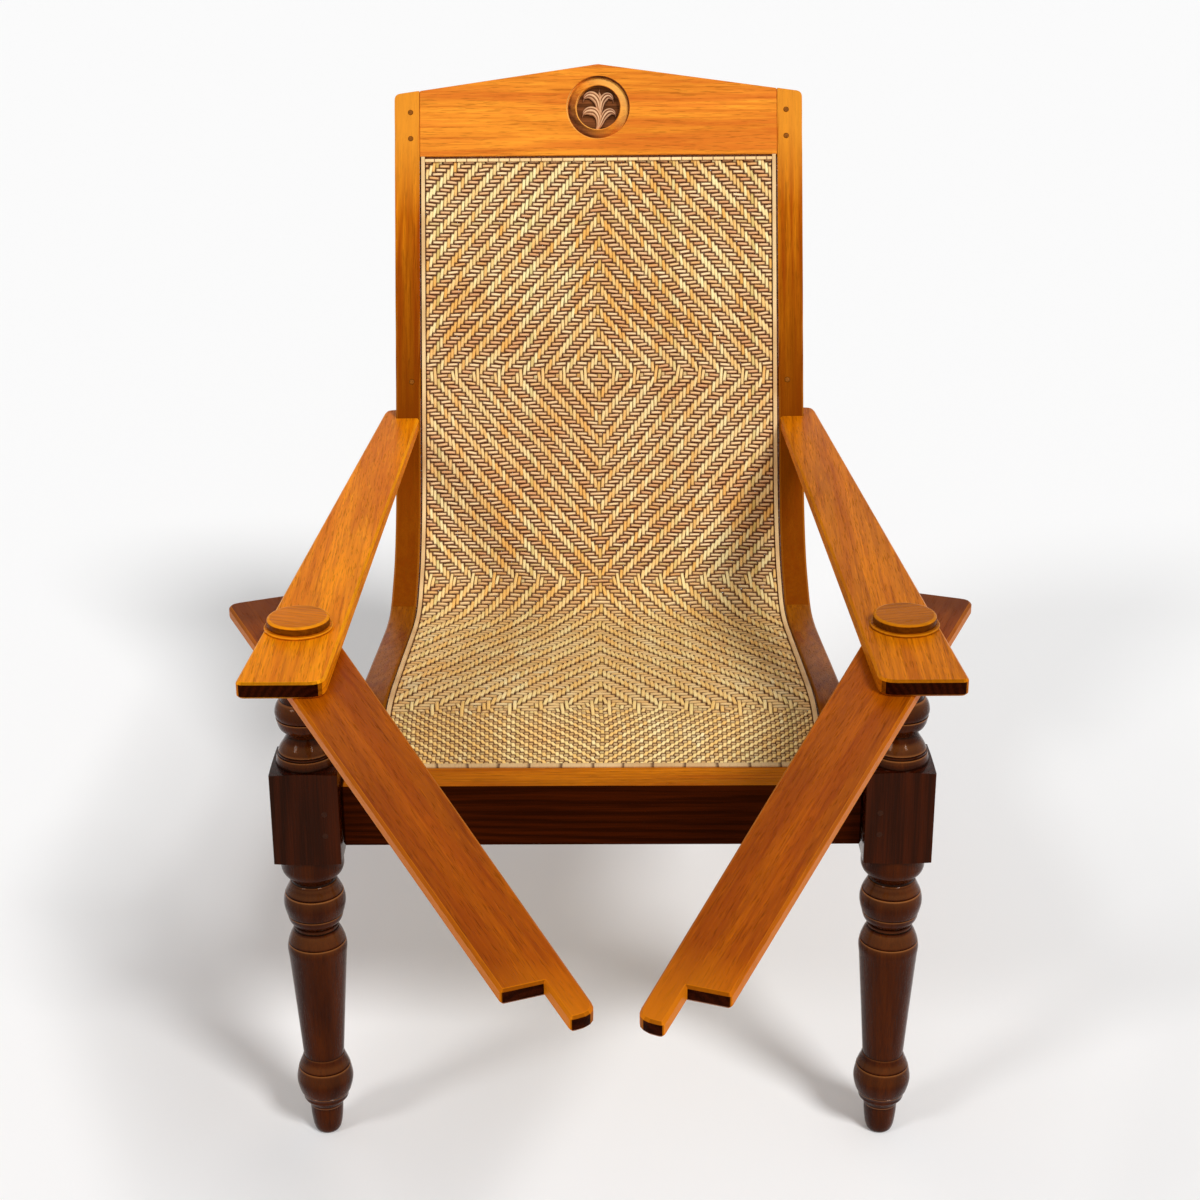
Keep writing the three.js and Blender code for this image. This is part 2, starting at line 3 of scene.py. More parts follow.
import json
import math
from contextlib import contextmanager

import bmesh
import bpy
import numpy as np
from bpy.props import FloatProperty, FloatVectorProperty, IntProperty, PointerProperty
from mathutils import Matrix, Vector


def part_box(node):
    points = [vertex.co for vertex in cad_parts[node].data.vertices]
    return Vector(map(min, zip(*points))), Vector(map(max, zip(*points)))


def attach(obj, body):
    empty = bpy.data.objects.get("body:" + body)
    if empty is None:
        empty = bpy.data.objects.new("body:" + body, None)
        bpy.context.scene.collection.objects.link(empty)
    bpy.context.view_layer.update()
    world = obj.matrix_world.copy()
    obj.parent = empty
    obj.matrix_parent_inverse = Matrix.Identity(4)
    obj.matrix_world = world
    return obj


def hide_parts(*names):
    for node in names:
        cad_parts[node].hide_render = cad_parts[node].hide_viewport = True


bl_info = {
    "name": "Planter's Chair",
    "version": (1, 0, 0),
    "blender": (4, 5, 0),
    "location": "3D View > Sidebar > Chair",
    "description": "Builds a reclining chair with turned legs, swing-out leg rests and a woven cane seat",
    "category": "Object",
}

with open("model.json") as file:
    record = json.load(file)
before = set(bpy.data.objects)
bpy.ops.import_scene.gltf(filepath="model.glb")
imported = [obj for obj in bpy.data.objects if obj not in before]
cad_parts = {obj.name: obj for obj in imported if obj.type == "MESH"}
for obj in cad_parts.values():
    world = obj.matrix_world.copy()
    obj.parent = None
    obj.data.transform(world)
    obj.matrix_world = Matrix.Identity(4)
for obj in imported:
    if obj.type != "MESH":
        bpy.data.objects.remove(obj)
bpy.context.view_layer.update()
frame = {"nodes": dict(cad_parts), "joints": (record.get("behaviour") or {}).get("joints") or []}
MM = 0.001
SIDES = {"left": 1, "right": -1}
LEAN = math.radians(22.2)
UP_THE_BACK = Vector((0, math.sin(LEAN), math.cos(LEAN)))
OUT_OF_THE_BACK = Vector((0, -math.cos(LEAN), math.sin(LEAN)))
ALONG, ACROSS, UP = Vector((0, 1, 0)), Vector((1, 0, 0)), Vector((0, 0, 1))
PIVOT = Vector(next(j["pos_m"] for j in frame["joints"] if j["name"] == "leaf_left_swing"))
ARM_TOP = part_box("arm_left")[1].z
LEG_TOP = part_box("front_leg_left")[1].z
BACK_FOOT = Vector((0, 0.64155, ARM_TOP))  # where the front of the back passes the arms' tops


# Settings


def length(name, description, default, **limits):
    return FloatProperty(name=name, description=description, default=default, unit="LENGTH", precision=4, **limits)


def colour(name, description, default):
    return FloatVectorProperty(name=name, description=description, default=default, subtype="COLOR", min=0, max=1)


def share(name, description, default):
    return FloatProperty(name=name, description=description, default=default, subtype="FACTOR", min=0, max=1)


class ChairTimber(bpy.types.PropertyGroup):
    """Colours and edges of the timber"""

    arm: colour("Arm", "Varnished teak of the arms and knobs", (0.64, 0.176, 0.002))
    leaf: colour("Leaf", "Browner teak of the leg-rest leaves", (0.430, 0.093, 0.0008))
    crest: colour("Crest rail", "Paler teak of the crest rail", (0.88, 0.262, 0.024))
    # Colour of the roundel's sunk floor, a stain with painted shade of its hollow, and of the painted shade on the
    # ring's faces turned from the light
    roundel: colour("Roundel", "Stain on the roundel's floor", (0.15, 0.048, 0.015))
    carving: colour("Carving", "Freshly cut teak inside the roundel", (0.58, 0.26, 0.115))
    # Colour of the painted highlight on the carving's proud ribs
    carved_rib_highlight: colour("Carved edges", "Pale ribs of the carving", (0.92, 0.60, 0.34))
    post: colour("Posts", "Red-brown teak of the posts and side rails", (0.50, 0.145, 0.004))
    stain_and_shade: colour("Stain", "Dark stain of the front rail's face, the leg blocks and the sawn ends",
                  (0.027, 0.0036, 0.0002))
    leg: colour("Legs", "Dark teak of the turned legs", (0.047, 0.0078, 0.0002))
    # Colour of the wear and painted highlight on the turned legs' proud edges and shoulders
    leg_edge_highlight: colour("Leg edges", "Worn edges of the turned legs", (0.46, 0.17, 0.045))
    peg: colour("Pegs", "End grain of the pegs", (0.020, 0.0048, 0.0010))
    edge: length("Edge", "Softened edge of every sawn board", 0.0009, min=0.0002, max=0.003)
    gloss: share("Gloss", "Roughness of the varnish", 0.34)


class ChairTurning(bpy.types.PropertyGroup):
    """Sizes of the turned legs and knobs"""

    stock: length("Stock", "Side of the square leg stock", 0.074, min=0.05, max=0.1)
    steps: IntProperty(name="Steps", description="Faces round a turning", default=80, min=24, max=160)
    knob: length("Knob", "Diameter of a pivot pin's knob", 0.074, min=0.04, max=0.1)
    knob_top: length("Knob top", "Diameter of the knob above its foot ring", 0.067, min=0.03, max=0.09)
    knob_height: length("Knob height", "Height of the knob above the arm", 0.0130, min=0.005, max=0.03)


class ChairCane(bpy.types.PropertyGroup):
    """Sizes and colours of the woven cane"""

    warp_pitch: length("Warp pitch", "Distance between strands that run up the chair", 0.004914, min=0.003, max=0.01)
    weft_pitch: length("Weft pitch", "Distance between strands that run across the back", 0.00525, min=0.003, max=0.01)
    warp_width: length("Warp width", "Width of a strand that runs up the chair", 0.0049, min=0.002, max=0.008)
    weft_width: length("Weft width", "Width of a strand that runs across", 0.0050, min=0.002, max=0.008)
    float_over: IntProperty(name="Float", description="Strands that each float passes over", default=3, min=1, max=5)
    warp_colour: colour("Warp", "Pale straw of the strands that run up the chair", (1.0, 0.84, 0.42))
    warp_shade: colour("Warp shade", "Golden straw of the same strands", (0.88, 0.45, 0.10))
    weft_colour: colour("Weft", "Pinkish brown of the strands that run across", (1.0, 0.74, 0.40))
    weft_shade: colour("Weft shade", "Darker brown of the same strands", (0.76, 0.38, 0.16))
    # Colours of the painted shade along the strands' sides
    warp_side: colour("Warp side", "Stain along the sides of the strands that run up the chair", (0.28, 0.110, 0.022))
    weft_side: colour("Weft side", "Stain along the lower side of the strands that run across", (0.19, 0.062, 0.020))
    # Colour of the painted shade in the crevices between and under the strands
    hollow_shade: colour("Hollow", "Stain between the strands", (0.105, 0.032, 0.010))
    binding: colour("Binding", "Split cane over the edges", (0.74, 0.52, 0.26))


class ChairStage(bpy.types.PropertyGroup):
    """Camera, lamps and floor"""

    lens: FloatProperty(name="Lens", description="Focal length on a 36 mm frame", default=66.0, min=20, max=200,
                        unit="CAMERA")
    key: FloatProperty(name="Key", description="Light from the right", default=2.05, min=0)
    fill: FloatProperty(name="Fill", description="Light from the left, in front", default=0.7, min=0)
    ambient: share("Ambient", "Light of the room", 0.39)
    floor: colour("Floor", "Pale floor", (0.97, 0.97, 0.97))


# Modelling


def activate(piece=None):
    """Object mode, with only this piece selected."""
    if bpy.context.mode != "OBJECT":
        bpy.ops.object.mode_set(mode="OBJECT")
    bpy.ops.object.select_all(action="DESELECT")
    if piece:
        piece.select_set(True)
        bpy.context.view_layer.objects.active = piece


@contextmanager
def editing(piece):
    """Edit mode on this piece, with all of it selected."""
    activate(piece)
    bpy.ops.object.mode_set(mode="EDIT")
    bpy.ops.mesh.select_mode(type="VERT")
    bpy.ops.mesh.select_all(action="SELECT")
    yield
    bpy.ops.object.mode_set(mode="OBJECT")


def pick_edges(piece, wanted):
    """In edit mode, selects the edges that are wanted, which is told by the places of their two ends."""
    bpy.ops.mesh.select_mode(type="EDGE")
    bpy.ops.mesh.select_all(action="DESELECT")
    shell = bmesh.from_edit_mesh(piece.data)
    for edge in shell.edges:
        if wanted(*(end.co for end in edge.verts)):
            edge.select_set(True)
    shell.select_flush_mode()
    bmesh.update_edit_mesh(piece.data)


def apply_modifier(piece, kind, **settings):
    activate(piece)
    modifier = piece.modifiers.new(kind.title(), kind)
    for key, value in settings.items():
        setattr(modifier, key, value)
    bpy.ops.object.modifier_apply(modifier=modifier.name)


def combine(piece, tool, operation):
    """Cuts, joins or trims a piece with a tool, which is then thrown away."""
    apply_modifier(piece, "BOOLEAN", object=tool, operation=operation, solver="EXACT")
    bpy.data.objects.remove(tool)


def named(name):
    piece = bpy.context.object
    piece.name = name
    return piece


def linked(name, data):
    """A new object in the scene."""
    piece = bpy.data.objects.new(name, data)
    bpy.context.scene.collection.objects.link(piece)
    return piece


def cube(name, low, high):
    """A block between two corners."""
    activate()
    low, high = Vector(low), Vector(high)
    middle = (low + high) / 2
    bpy.ops.mesh.primitive_cube_add(size=1, location=middle)
    piece = named(name)
    with editing(piece):
        bpy.ops.transform.resize(value=high - low, center_override=middle)
    return settle(piece)


def settle(piece, place=None):
    """Applies a piece's own place to its mesh, then moves the mesh to its place on the chair."""
    activate(piece)
    bpy.ops.object.transform_apply(location=True, rotation=True, scale=True)
    if place is not None:
        piece.data.transform(place)
    piece.data.update()
    return piece


def copied(piece, name, place):
    """A copy with its own mesh, moved to its place."""
    other = linked(name, piece.data.copy())
    other.data.transform(place)
    return other


def smooth_run(points, spacing):
    """Points along a smooth line through the given ones, about a spacing apart."""
    given = np.array(points, float)
    if len(given) < 3:
        return given
    ends = np.vstack([2 * given[0] - given[1], given, 2 * given[-1] - given[-2]])
    line = []
    for a, b, c, d in zip(ends, ends[1:], ends[2:], ends[3:]):
        count = max(1, math.ceil(np.linalg.norm(c - b) / spacing))
        t = (np.arange(count) / count)[:, None]
        line.append(0.5 * (2 * b + (c - a) * t + (2 * a - 5 * b + 4 * c - d) * t**2
                           + (3 * b - a - 3 * c + d) * t**3))
    return np.vstack([*line, given[-1:]])


def gone_along(line):
    """The length from the start of a line to each of its points."""
    return np.r_[0, np.cumsum(np.linalg.norm(np.diff(line, axis=0), axis=1))]


def unit(ways):
    return ways / np.linalg.norm(ways, axis=1)[:, None]


def turning(name, runs, steps, spacing=1.7):
    """A point is extruded up the outline and spun. Each run is a smooth line of heights and radii in mm."""
    outline = np.vstack([smooth_run(run, spacing) for run in runs])[:, ::-1] * MM
    keep = np.r_[True, np.linalg.norm(np.diff(outline, axis=0), axis=1) > 0.02 * MM]
    outline = outline[keep]
    activate()
    bpy.ops.mesh.primitive_plane_add(size=MM)
    piece = named(name)
    with editing(piece):
        bpy.ops.mesh.merge(type="CENTER")
        bpy.ops.transform.translate(value=(outline[0, 0], 0, outline[0, 1]))
        for across, up in np.diff(outline, axis=0):
            bpy.ops.mesh.extrude_vertices_move(TRANSFORM_OT_translate={"value": (across, 0, up)})
        bpy.ops.mesh.select_all(action="SELECT")
        bpy.ops.mesh.spin(steps=steps, angle=2 * math.pi, center=(0, 0, 0), axis=(0, 0, 1))
        bpy.ops.mesh.select_all(action="SELECT")
        bpy.ops.mesh.remove_doubles(threshold=0.002 * MM)
        bpy.ops.mesh.normals_make_consistent(inside=False)
    return settle(piece)


def give(piece, name, values, domain="POINT"):
    """Stores one number for each point or face under a name."""
    piece.data.attributes.new(name, "FLOAT", domain).data.foreach_set("value", values)


def relief(piece, runs):
    """Marks a turning above 0 with painted highlight on its up-facing shoulders and on its proud edges, which are also
    worn, and below 0 with painted shade in hollows and beside the edges.
    """
    spacing, reach, hollow_shade, least_edge, proud_width, sunk_width = 0.5, 5.0, 1.4, 0.3, 0.8, 0.7  # mm
    shoulder_highlight, edge_light_and_shade = 0.20, 1.1
    outline = np.vstack([smooth_run(run, 1.0) for run in runs])
    heights = np.arange(outline[0, 0], outline[-1, 0], spacing)
    radii = np.interp(heights, outline[:, 0], outline[:, 1])
    half = int(reach / spacing)
    window = np.ones(2 * half + 1) / (2 * half + 1)
    mean = np.convolve(np.pad(radii, half, mode="edge"), window, mode="valid")
    shoulder = np.convolve(np.clip(-np.gradient(radii, heights), 0, 1), np.ones(5) / 5, mode="same")
    place = np.zeros(len(piece.data.vertices) * 3, np.float32)
    piece.data.vertices.foreach_get("co", place)
    up = place[2::3] / MM
    # Painted shade in the hollows, and painted highlight on the shoulders that face up
    light_and_shade = np.minimum(np.interp(up, heights, radii - mean) / hollow_shade, 0)
    light_and_shade += shoulder_highlight * np.interp(up, heights, shoulder)
    # Wear with a painted highlight on the proud side of each edge, and painted shade on its sunk side
    for (under, inner), (over, outer) in ((a[-1], b[0]) for a, b in zip(runs, runs[1:])):
        if abs(inner - outer) > least_edge:
            proud, sunk = (under, over) if inner > outer else (over, under)
            light_and_shade += edge_light_and_shade * np.exp(-((up - proud) / proud_width) ** 2)
            light_and_shade -= edge_light_and_shade * np.exp(-((up - sunk) / sunk_width) ** 2)
    light_and_shade = np.clip(light_and_shade, -1, 1)
    give(piece, "relief", light_and_shade.astype(np.float32))


def smooth(piece, degrees):
    activate(piece)
    bpy.ops.object.shade_smooth_by_angle(angle=math.radians(degrees))


def mark(piece, name, value):
    """Gives each face a share from 0 to 1, worked out from the face."""
    shares = [min(1.0, max(0.0, value(face))) for face in piece.data.polygons]
    give(piece, name, shares, "FACE")


def mark_board(piece, flat, along=None, side=0.0):
    """Lightens the eased edges of the flat faces for wear and a painted highlight, paints light on the sides as far as
    side asks, and darkens what is sawn across the grain, as end grain soaks up more colour.
    """
    if along:
        grain = along.normalized()
        mark(piece, "stain_and_shade", lambda face: (abs(face.normal.dot(grain)) - 0.55) / 0.3)

    def wear_and_highlight(face):
        turn = abs(face.normal.dot(flat))
        if turn < 0.3:
            return side
        if turn > 0.8:
            return 0.8 if turn < 0.985 else 0.0
        return 0.35 if turn > 0.5 else 0.0

    mark(piece, "wear_and_highlight", wear_and_highlight)


def merged(node, name):
    """A copy of a CAD node's mesh, its loose triangles merged."""
    piece = linked(name, frame["nodes"][node].data.copy())
    activate(piece)
    bpy.ops.mesh.customdata_custom_splitnormals_clear()
    with editing(piece):
        bpy.ops.mesh.remove_doubles(threshold=0.02 * MM)
    return piece


def sawn(node, edge, limit=25):
    """A merged copy of a sawn board, its edges softened where they turn by more than a limit in degrees."""
    piece = merged(node, "worked_" + node)
    with editing(piece):
        bpy.ops.mesh.dissolve_limited(angle_limit=math.radians(0.3))
    apply_modifier(piece, "BEVEL", width=edge, segments=2, limit_method="ANGLE", angle_limit=math.radians(limit),
                   miter_outer="MITER_ARC")
    activate(piece)
    bpy.ops.object.shade_smooth()
    apply_modifier(piece, "WEIGHTED_NORMAL", keep_sharp=True, weight=60)
    return piece


def fit(piece, finish, slot, *nodes, body="frame"):
    """Gives a piece its finish, its place on the chair and the CAD nodes that it stands for."""
    piece.data.materials.clear()
    piece.data.materials.append(finish)
    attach(piece, body)
    if nodes:
        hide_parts(*nodes)


# Materials


class Wire:
    """A socket. Arithmetic on wires adds Math nodes, and node adds any other."""

    def __init__(self, tree, socket=None):
        self.tree = tree
        self.socket = socket

    def put(self, value, socket):
        """Links a wire to a node's socket, or sets a plain value on it."""
        if isinstance(value, Wire):
            self.tree.links.new(value.socket, socket)
        else:
            socket.default_value = value

    def node(self, kind, inputs, out=0, **settings):
        made = self.tree.nodes.new("ShaderNode" + kind)
        for key, value in settings.items():
            setattr(made, key, value)
        for key, value in inputs.items():
            self.put(value, made.inputs[key])
        return Wire(self.tree, made.outputs[out])

    def parts(self):
        """The X, Y and Z of a vector."""
        made = self.node("SeparateXYZ", {"Vector": self}).socket.node
        return [Wire(self.tree, socket) for socket in made.outputs]

    def math(self, operation, a, b=0.0, clamp=False):
        return self.node("Math", {0: a, 1: b}, operation=operation, use_clamp=clamp)

    def __add__(self, other):
        return self.math("ADD", self, other)

    def __sub__(self, other):
        return self.math("SUBTRACT", self, other)

    def __rsub__(self, other):
        return self.math("SUBTRACT", other, self)

    def __mul__(self, other):
        return self.math("MULTIPLY", self, other)

    def __pow__(self, other):
        return self.math("POWER", self, other)

    __radd__ = __add__
    __rmul__ = __mul__

    def held(self):
        """The same value, held from 0 to 1."""
        return self.math("ADD", self, 0.0, clamp=True)

    def past(self, start, gain):
        """0 up to a start, then rising with a gain, and held at 1."""
        return ((self - start) * gain).held()


def blank(name):
    """A new material, the hub that its nodes come from, and its shader."""
    material = bpy.data.materials.new(name)
    material.use_nodes = True
    return material, Wire(material.node_tree), material.node_tree.nodes["Principled BSDF"]


def feed(hub, shader, **inputs):
    """Puts wires or plain values on a shader's sockets, each named with _ for its spaces."""
    for key, value in inputs.items():
        hub.put(value, shader.inputs[key.replace("_", " ")])


def rgb(value):
    return (*value, 1.0)


def shade(value, *factors):
    """A colour times one factor, or times one for each of its parts."""
    return tuple(min(1.0, part * factor) for part, factor in zip(value, factors * 3))


def mix(hub, factor, a, b):
    """From colour a to colour b."""
    a, b = (v if isinstance(v, Wire) else rgb(v) for v in (a, b))
    return hub.node("Mix", {0: factor, 6: a, 7: b}, out=2, data_type="RGBA")


def layered(hub, base, layers):
    """Lays colours over a base in turn, each given after its share."""
    for factor, colour in layers:
        base = mix(hub, factor, base, colour)
    return base


def own_place(hub):
    return hub.node("TexCoord", {}, out="Object")


def noise(hub, place, factors, detail=2.0, roughness=0.5):
    stretched = hub.node("VectorMath", {0: place, 1: factors}, operation="MULTIPLY")
    return hub.node("TexNoise", {"Vector": stretched, "Scale": 1.0, "Detail": detail, "Roughness": roughness})


def bump(hub, height, distance, strength):
    return hub.node("Bump", {"Height": height, "Distance": distance, "Strength": strength})


def attribute(hub, name, out="Fac"):
    return hub.node("Attribute", {}, out=out, attribute_name=name)


def laid(hub, along, face, centre):
    """Object coordinates with X along the grain and Z out of the sawn face, from a centre."""
    along, face = along.normalized(), face.normalized()
    turn = Matrix((along, face.cross(along), face)).transposed().to_euler()
    return hub.node("Mapping", {"Vector": own_place(hub), "Location": centre, "Rotation": turn},
                    vector_type="TEXTURE")


def teak(name, tint, along, face, centre, gloss, heart=(0.02, -0.05), band=0.0065, contrast=1.0, streak=1.0,
         red=0.0, shine=0.02, lacquer=0.0, relief_highlight=None, shade_along=0.0, stain_and_shade=(0.020, 0.0028, 0.0006)):
    """Sawn teak: growth rings round a heart beside the board, long streaks and short pores.

    band is the width of a ring and contrast its depth. streak and red are the depths of the fibres and of the
    redder clouds. gloss is the varnish's roughness, shine its light, and lacquer a thin clear coat over it.
    shade_along paints shade over a board, darkest at its start, and paints light at its far end. relief_highlight is
    the colour of the painted highlight where relief marks proud, and relief paints shade where it marks hollows.
    """
    material, hub, shader = blank(name)
    place = laid(hub, along, face, centre)
    x, y, z = place.parts()
    wander = noise(hub, place, (2.2, 9.0, 9.0), 3.0) - 0.5
    side = y - heart[0] + x * 0.035 + wander * 0.022
    deep = z - heart[1] + x * 0.02
    radius = (side * side + deep * deep) ** 0.5
    flutter = noise(hub, place, (9.0, 120.0, 120.0), 3.0)
    ring = hub.math("SINE", radius * (2 * math.pi / band) + flutter * 3.2) * 0.5 + 0.5
    fibre = noise(hub, place, (11.0, 520.0, 520.0), 4.0, 0.62)
    cloud = noise(hub, place, (3.5, 26.0, 26.0), 3.0)
    vein = noise(hub, place, (6.0, 250.0, 250.0), 2.0, 0.6)
    pore = noise(hub, place, (48.0, 950.0, 950.0), 1.0).past(0.58, 9.0)
    fleck = noise(hub, place, (30.0, 420.0, 420.0), 2.0).past(0.56, 7.0)
    smear = noise(hub, place, (14.0, 60.0, 60.0), 3.0)
    dark = shade(tint, 0.56, 0.40, 0.4)
    layers = [
        ((ring**2.2 * (0.30 * contrast)).held(), dark),
        (((fibre - 0.5) * (3.2 * streak) + 0.06).held() * 0.5, dark),
        (vein.past(0.52, 5.0) * (0.5 * streak), shade(tint, 0.42, 0.26, 0.3)),
        (fleck * (0.3 * streak), shade(tint, 1.7)),
    ]
    if red:
        reddish = noise(hub, place, (3.0, 75.0, 75.0), 2.0).past(0.47, 6.0)
        layers.append((reddish * red, shade(tint, 0.62, 0.30, 0.6)))
    layers.append((pore * 0.42, shade(tint, 0.25)))
    # Painted shade over the board, darkest and near black at its start, and painted light at its far end
    if shade_along:
        layers += [
            ((cloud * 0.5 - x * 3.2 + 1.08).held() * shade_along, shade(tint, 0.34, 0.24, 0.25)),
            ((cloud * 0.4 + x * 9.0 - 3.55).held() * 0.65, shade(tint, 1.75, 2.3, 8)),
            ((x * -9.0 - 2.7).held() * 0.75, shade(tint, 0.16, 0.14, 0.3)),
        ]
    # Random darker pools, then the painted highlight and painted shade that the relief mark gives turnings and the
    # carving
    if relief_highlight:
        light_and_shade = attribute(hub, "relief")
        layers += [
            (noise(hub, place, (5.0, 34.0, 34.0), 2.0).past(0.45, 6.0) * 0.8, shade(tint, 0.40, 0.26, 0.3)),
            ((light_and_shade * 0.9).held(), relief_highlight),
            ((light_and_shade * -0.95).held(), shade(tint, 0.10)),
        ]
    # The wear mark lightens worn edges with a painted highlight, and paints light on the leaves' sides and the
    # roundel; the stain mark darkens real stain, with painted shade on the roundel
    layers += [
        (attribute(hub, "wear_and_highlight") * (0.35 + cloud * 0.5), shade(tint, 1.7, 2.2, 6)),
        (attribute(hub, "stain_and_shade"), mix(hub, (fibre + ring * 0.3).past(0.4, 2.4), shade(stain_and_shade, 1.5), shade(stain_and_shade, 0.6))),
    ]
    base = mix(hub, cloud.past(0.3, 2.4), shade(tint, 1.34), shade(tint, 0.80))
    feed(hub, shader, Base_Color=layered(hub, base, layers), Roughness=gloss - 0.07 + smear * 0.14 + pore * 0.15,
         Specular_IOR_Level=shine, Specular_Tint=rgb((1.0, 0.40, 0.12)), Coat_Weight=lacquer, Coat_Roughness=0.06,
         Normal=bump(hub, fibre * 0.6 - pore + ring * 0.3, 0.00022, 0.7))
    return material


def end_grain(name, tint):
    """The end of a peg: specks and blotches on a dark stain."""
    material, hub, shader = blank(name)
    place = own_place(hub)
    speckle = noise(hub, place, (900.0, 900.0, 900.0), 3.0)
    blotch = noise(hub, place, (160.0, 160.0, 160.0), 2.0)
    base = mix(hub, speckle.past(0.45, 4.0), shade(tint, 1.8), shade(tint, 0.5))
    base = mix(hub, blotch.past(0.5, 3.0) * 0.6, base, shade(tint, 2.6))
    feed(hub, shader, Base_Color=base, Roughness=0.38 + speckle * 0.2, Specular_IOR_Level=0.1,
         Normal=bump(hub, speckle, 0.0001, 0.6))
    return material


def strand_finish(name, bright, dull, hollow_shade, side, one_sided):
    """Split cane: each float has its own tone, fine lines run along it, painted shade lies along its sides, in its
    crevices and where it runs under the binding, and the seat is painted paler.

    The attribute lie holds the length along a strand, the corner round it and the strand's number. The attribute tint
    holds the float's tone, the strand's hue and how deep it lies in a crevice, which sets its painted shade.
    """
    seat_ends, hollow_of_back, visible_half, visible_top = 0.56, 0.62, 0.2368, 0.3562
    material, hub, shader = blank(name)
    lie, tint = attribute(hub, "lie", "Vector"), attribute(hub, "tint", "Vector")
    tone, hue, crevice = tint.parts()
    across = lie.parts()[1]
    place = own_place(hub)
    x, y, z = place.parts()
    line = noise(hub, lie, (28.0, 2.6, 1.0), 3.0, 0.6)
    node_mark = noise(hub, lie, (9.0, 0.2, 1.0), 1.0)
    patch = noise(hub, place, (9.0, 9.0, 9.0), 3.0, 0.6)
    worn = noise(hub, place, (16.0, 11.0, 16.0), 3.0, 0.6)
    # Painted shade along a strand's sides: on both sides of a warp, and on the lower side of a weft
    rim = (1.5 - across) * 1.5 if one_sided else (hub.math("ABSOLUTE", across - 1.5) - 0.66) * 1.15
    # The seat is painted paler and more golden: wear from sitting, with painted light
    sat_on_and_lit = ((seat_ends - y) * 7.0).held()
    # Mixes a browner colour into the back around the arms' height
    back_band = (1 - hub.math("ABSOLUTE", z - hollow_of_back) * 5.0).held()
    # Painted shade where the strands run under the binding at the sides and at the top
    climb = hub.node("VectorMath", {0: place, 1: UP_THE_BACK}, out=1, operation="DOT_PRODUCT")
    tucked_in = hub.math("MAXIMUM", hub.math("ABSOLUTE", x) - visible_half,
                         climb - (BACK_FOOT.dot(UP_THE_BACK) + visible_top))
    base = layered(hub, mix(hub, (tone + (patch - 0.48) * 2.2).held(), bright, dull), (
        ((hue - 0.62).held() * 1.6, shade(bright, 0.80, 0.52, 0.22)),
        ((0.09 - hue).held() * 8.0, shade(bright, 0.56, 0.56, 0.32)),
        (line.past(0.45, 2.2) * 0.4, shade(dull, 0.6)),
        (node_mark.past(0.6, 4.0) * 0.35, shade(dull, 0.7)),
        (sat_on_and_lit * 0.46, (1.0, 0.71, 0.25)),
        (sat_on_and_lit * worn.past(0.53, 6.0) * 0.28, (0.86, 0.40, 0.09)),
        (back_band * 0.22, (0.78, 0.42, 0.18)),
        (sat_on_and_lit * ((0.45 - worn) * 8.0).held() * (0.5 - tone).held(), (1.0, 0.88, 0.52)),
        (rim.held() * (1 - sat_on_and_lit * 0.6), side),
        # Painted shade in the crevices, where strands dive and on faces turned into the weave
        (crevice.held(), hollow_shade),
        ((tucked_in * 900.0).held(), hollow_shade),
    ))
    feed(hub, shader, Base_Color=base, Roughness=0.4 + line * 0.2 + crevice * 0.2, Specular_IOR_Level=0.16,
         Normal=bump(hub, line, 0.00012, 0.6))
    return material


def binding_finish(name, tint, wraps):
    """Split cane laid over an edge: lines along it, paler and browner lengths, and dark notches where it wraps."""
    material, hub, shader = blank(name)
    place = own_place(hub)
    line = noise(hub, place, (900.0, 30.0, 30.0), 3.0, 0.6)
    length_tone = noise(hub, place, (12.0, 16.0, 16.0), 2.0)
    base = mix(hub, length_tone.past(0.35, 2.4), shade(tint, 1.12), shade(tint, 0.78, 0.62, 0.48))
    base = mix(hub, line.past(0.5, 3.0) * 0.5, base, shade(tint, 0.45))
    if wraps:
        run = hub.math("FRACT", place.parts()[0] * (1 / wraps) + length_tone * 0.5)
        base = mix(hub, run.past(0.86, 12.0) * 0.85, base, shade(tint, 0.12, 0.06, 0.05))
    feed(hub, shader, Base_Color=base, Roughness=0.42 + line * 0.2, Specular_IOR_Level=0.16,
         Normal=bump(hub, line, 0.0002, 0.6))
    return material


# Pieces


# The outline of a front leg in smooth runs of heights and radii in mm, with the square block between foot and head
LEG_FOOT = [
    [(0, 0), (0, 12)], [(0, 12), (3, 14.5), (9, 16.4), (17, 17.6), (25, 18.4), (36, 18.9)],
    [(36.6, 19.4), (41, 20.5), (46, 25.3), (50, 26), (54.3, 27.8)],
    [(54.9, 27.3), (55.8, 28.6), (58, 29.6), (66, 31.6), (73.5, 32.2), (82.6, 30.7), (88.2, 29.4)],
    [(88.7, 28.2), (89.6, 28.9), (94, 27.2), (99.6, 24.9), (104, 23.5)],
    [(104.4, 23.0), (106, 23.2), (115, 23.8)], [(115, 23.8), (171, 27.7)],
    [(171, 27.7), (226, 31.7), (236, 32.5), (245, 33.4), (250, 33.0), (253.3, 32.2)],
    [(253.9, 31.2), (254.8, 32.0), (259, 30.6), (265, 28.1), (270, 25.2)],
    [(270.4, 24.2), (271.5, 24.0)], [(271.8, 24.6), (273.6, 25.6), (275.6, 25.4), (276.4, 24.4)],
    [(276.8, 25.0), (280, 28.1), (284, 30.2), (289.4, 31.4)],
    [(290.0, 30.4), (290.8, 31.8), (296, 33.3), (303, 34.5), (310, 34.1), (316.3, 32.4)],
    [(316.9, 31.0), (317.8, 31.8), (325, 28.3), (331, 25.6)],
    [(331.5, 24.9), (333.4, 24.8)], [(334, 25.4), (338, 28.3), (343, 32.6), (348, 34.6), (351, 35)],
    [(351, 35), (367, 35)],
]
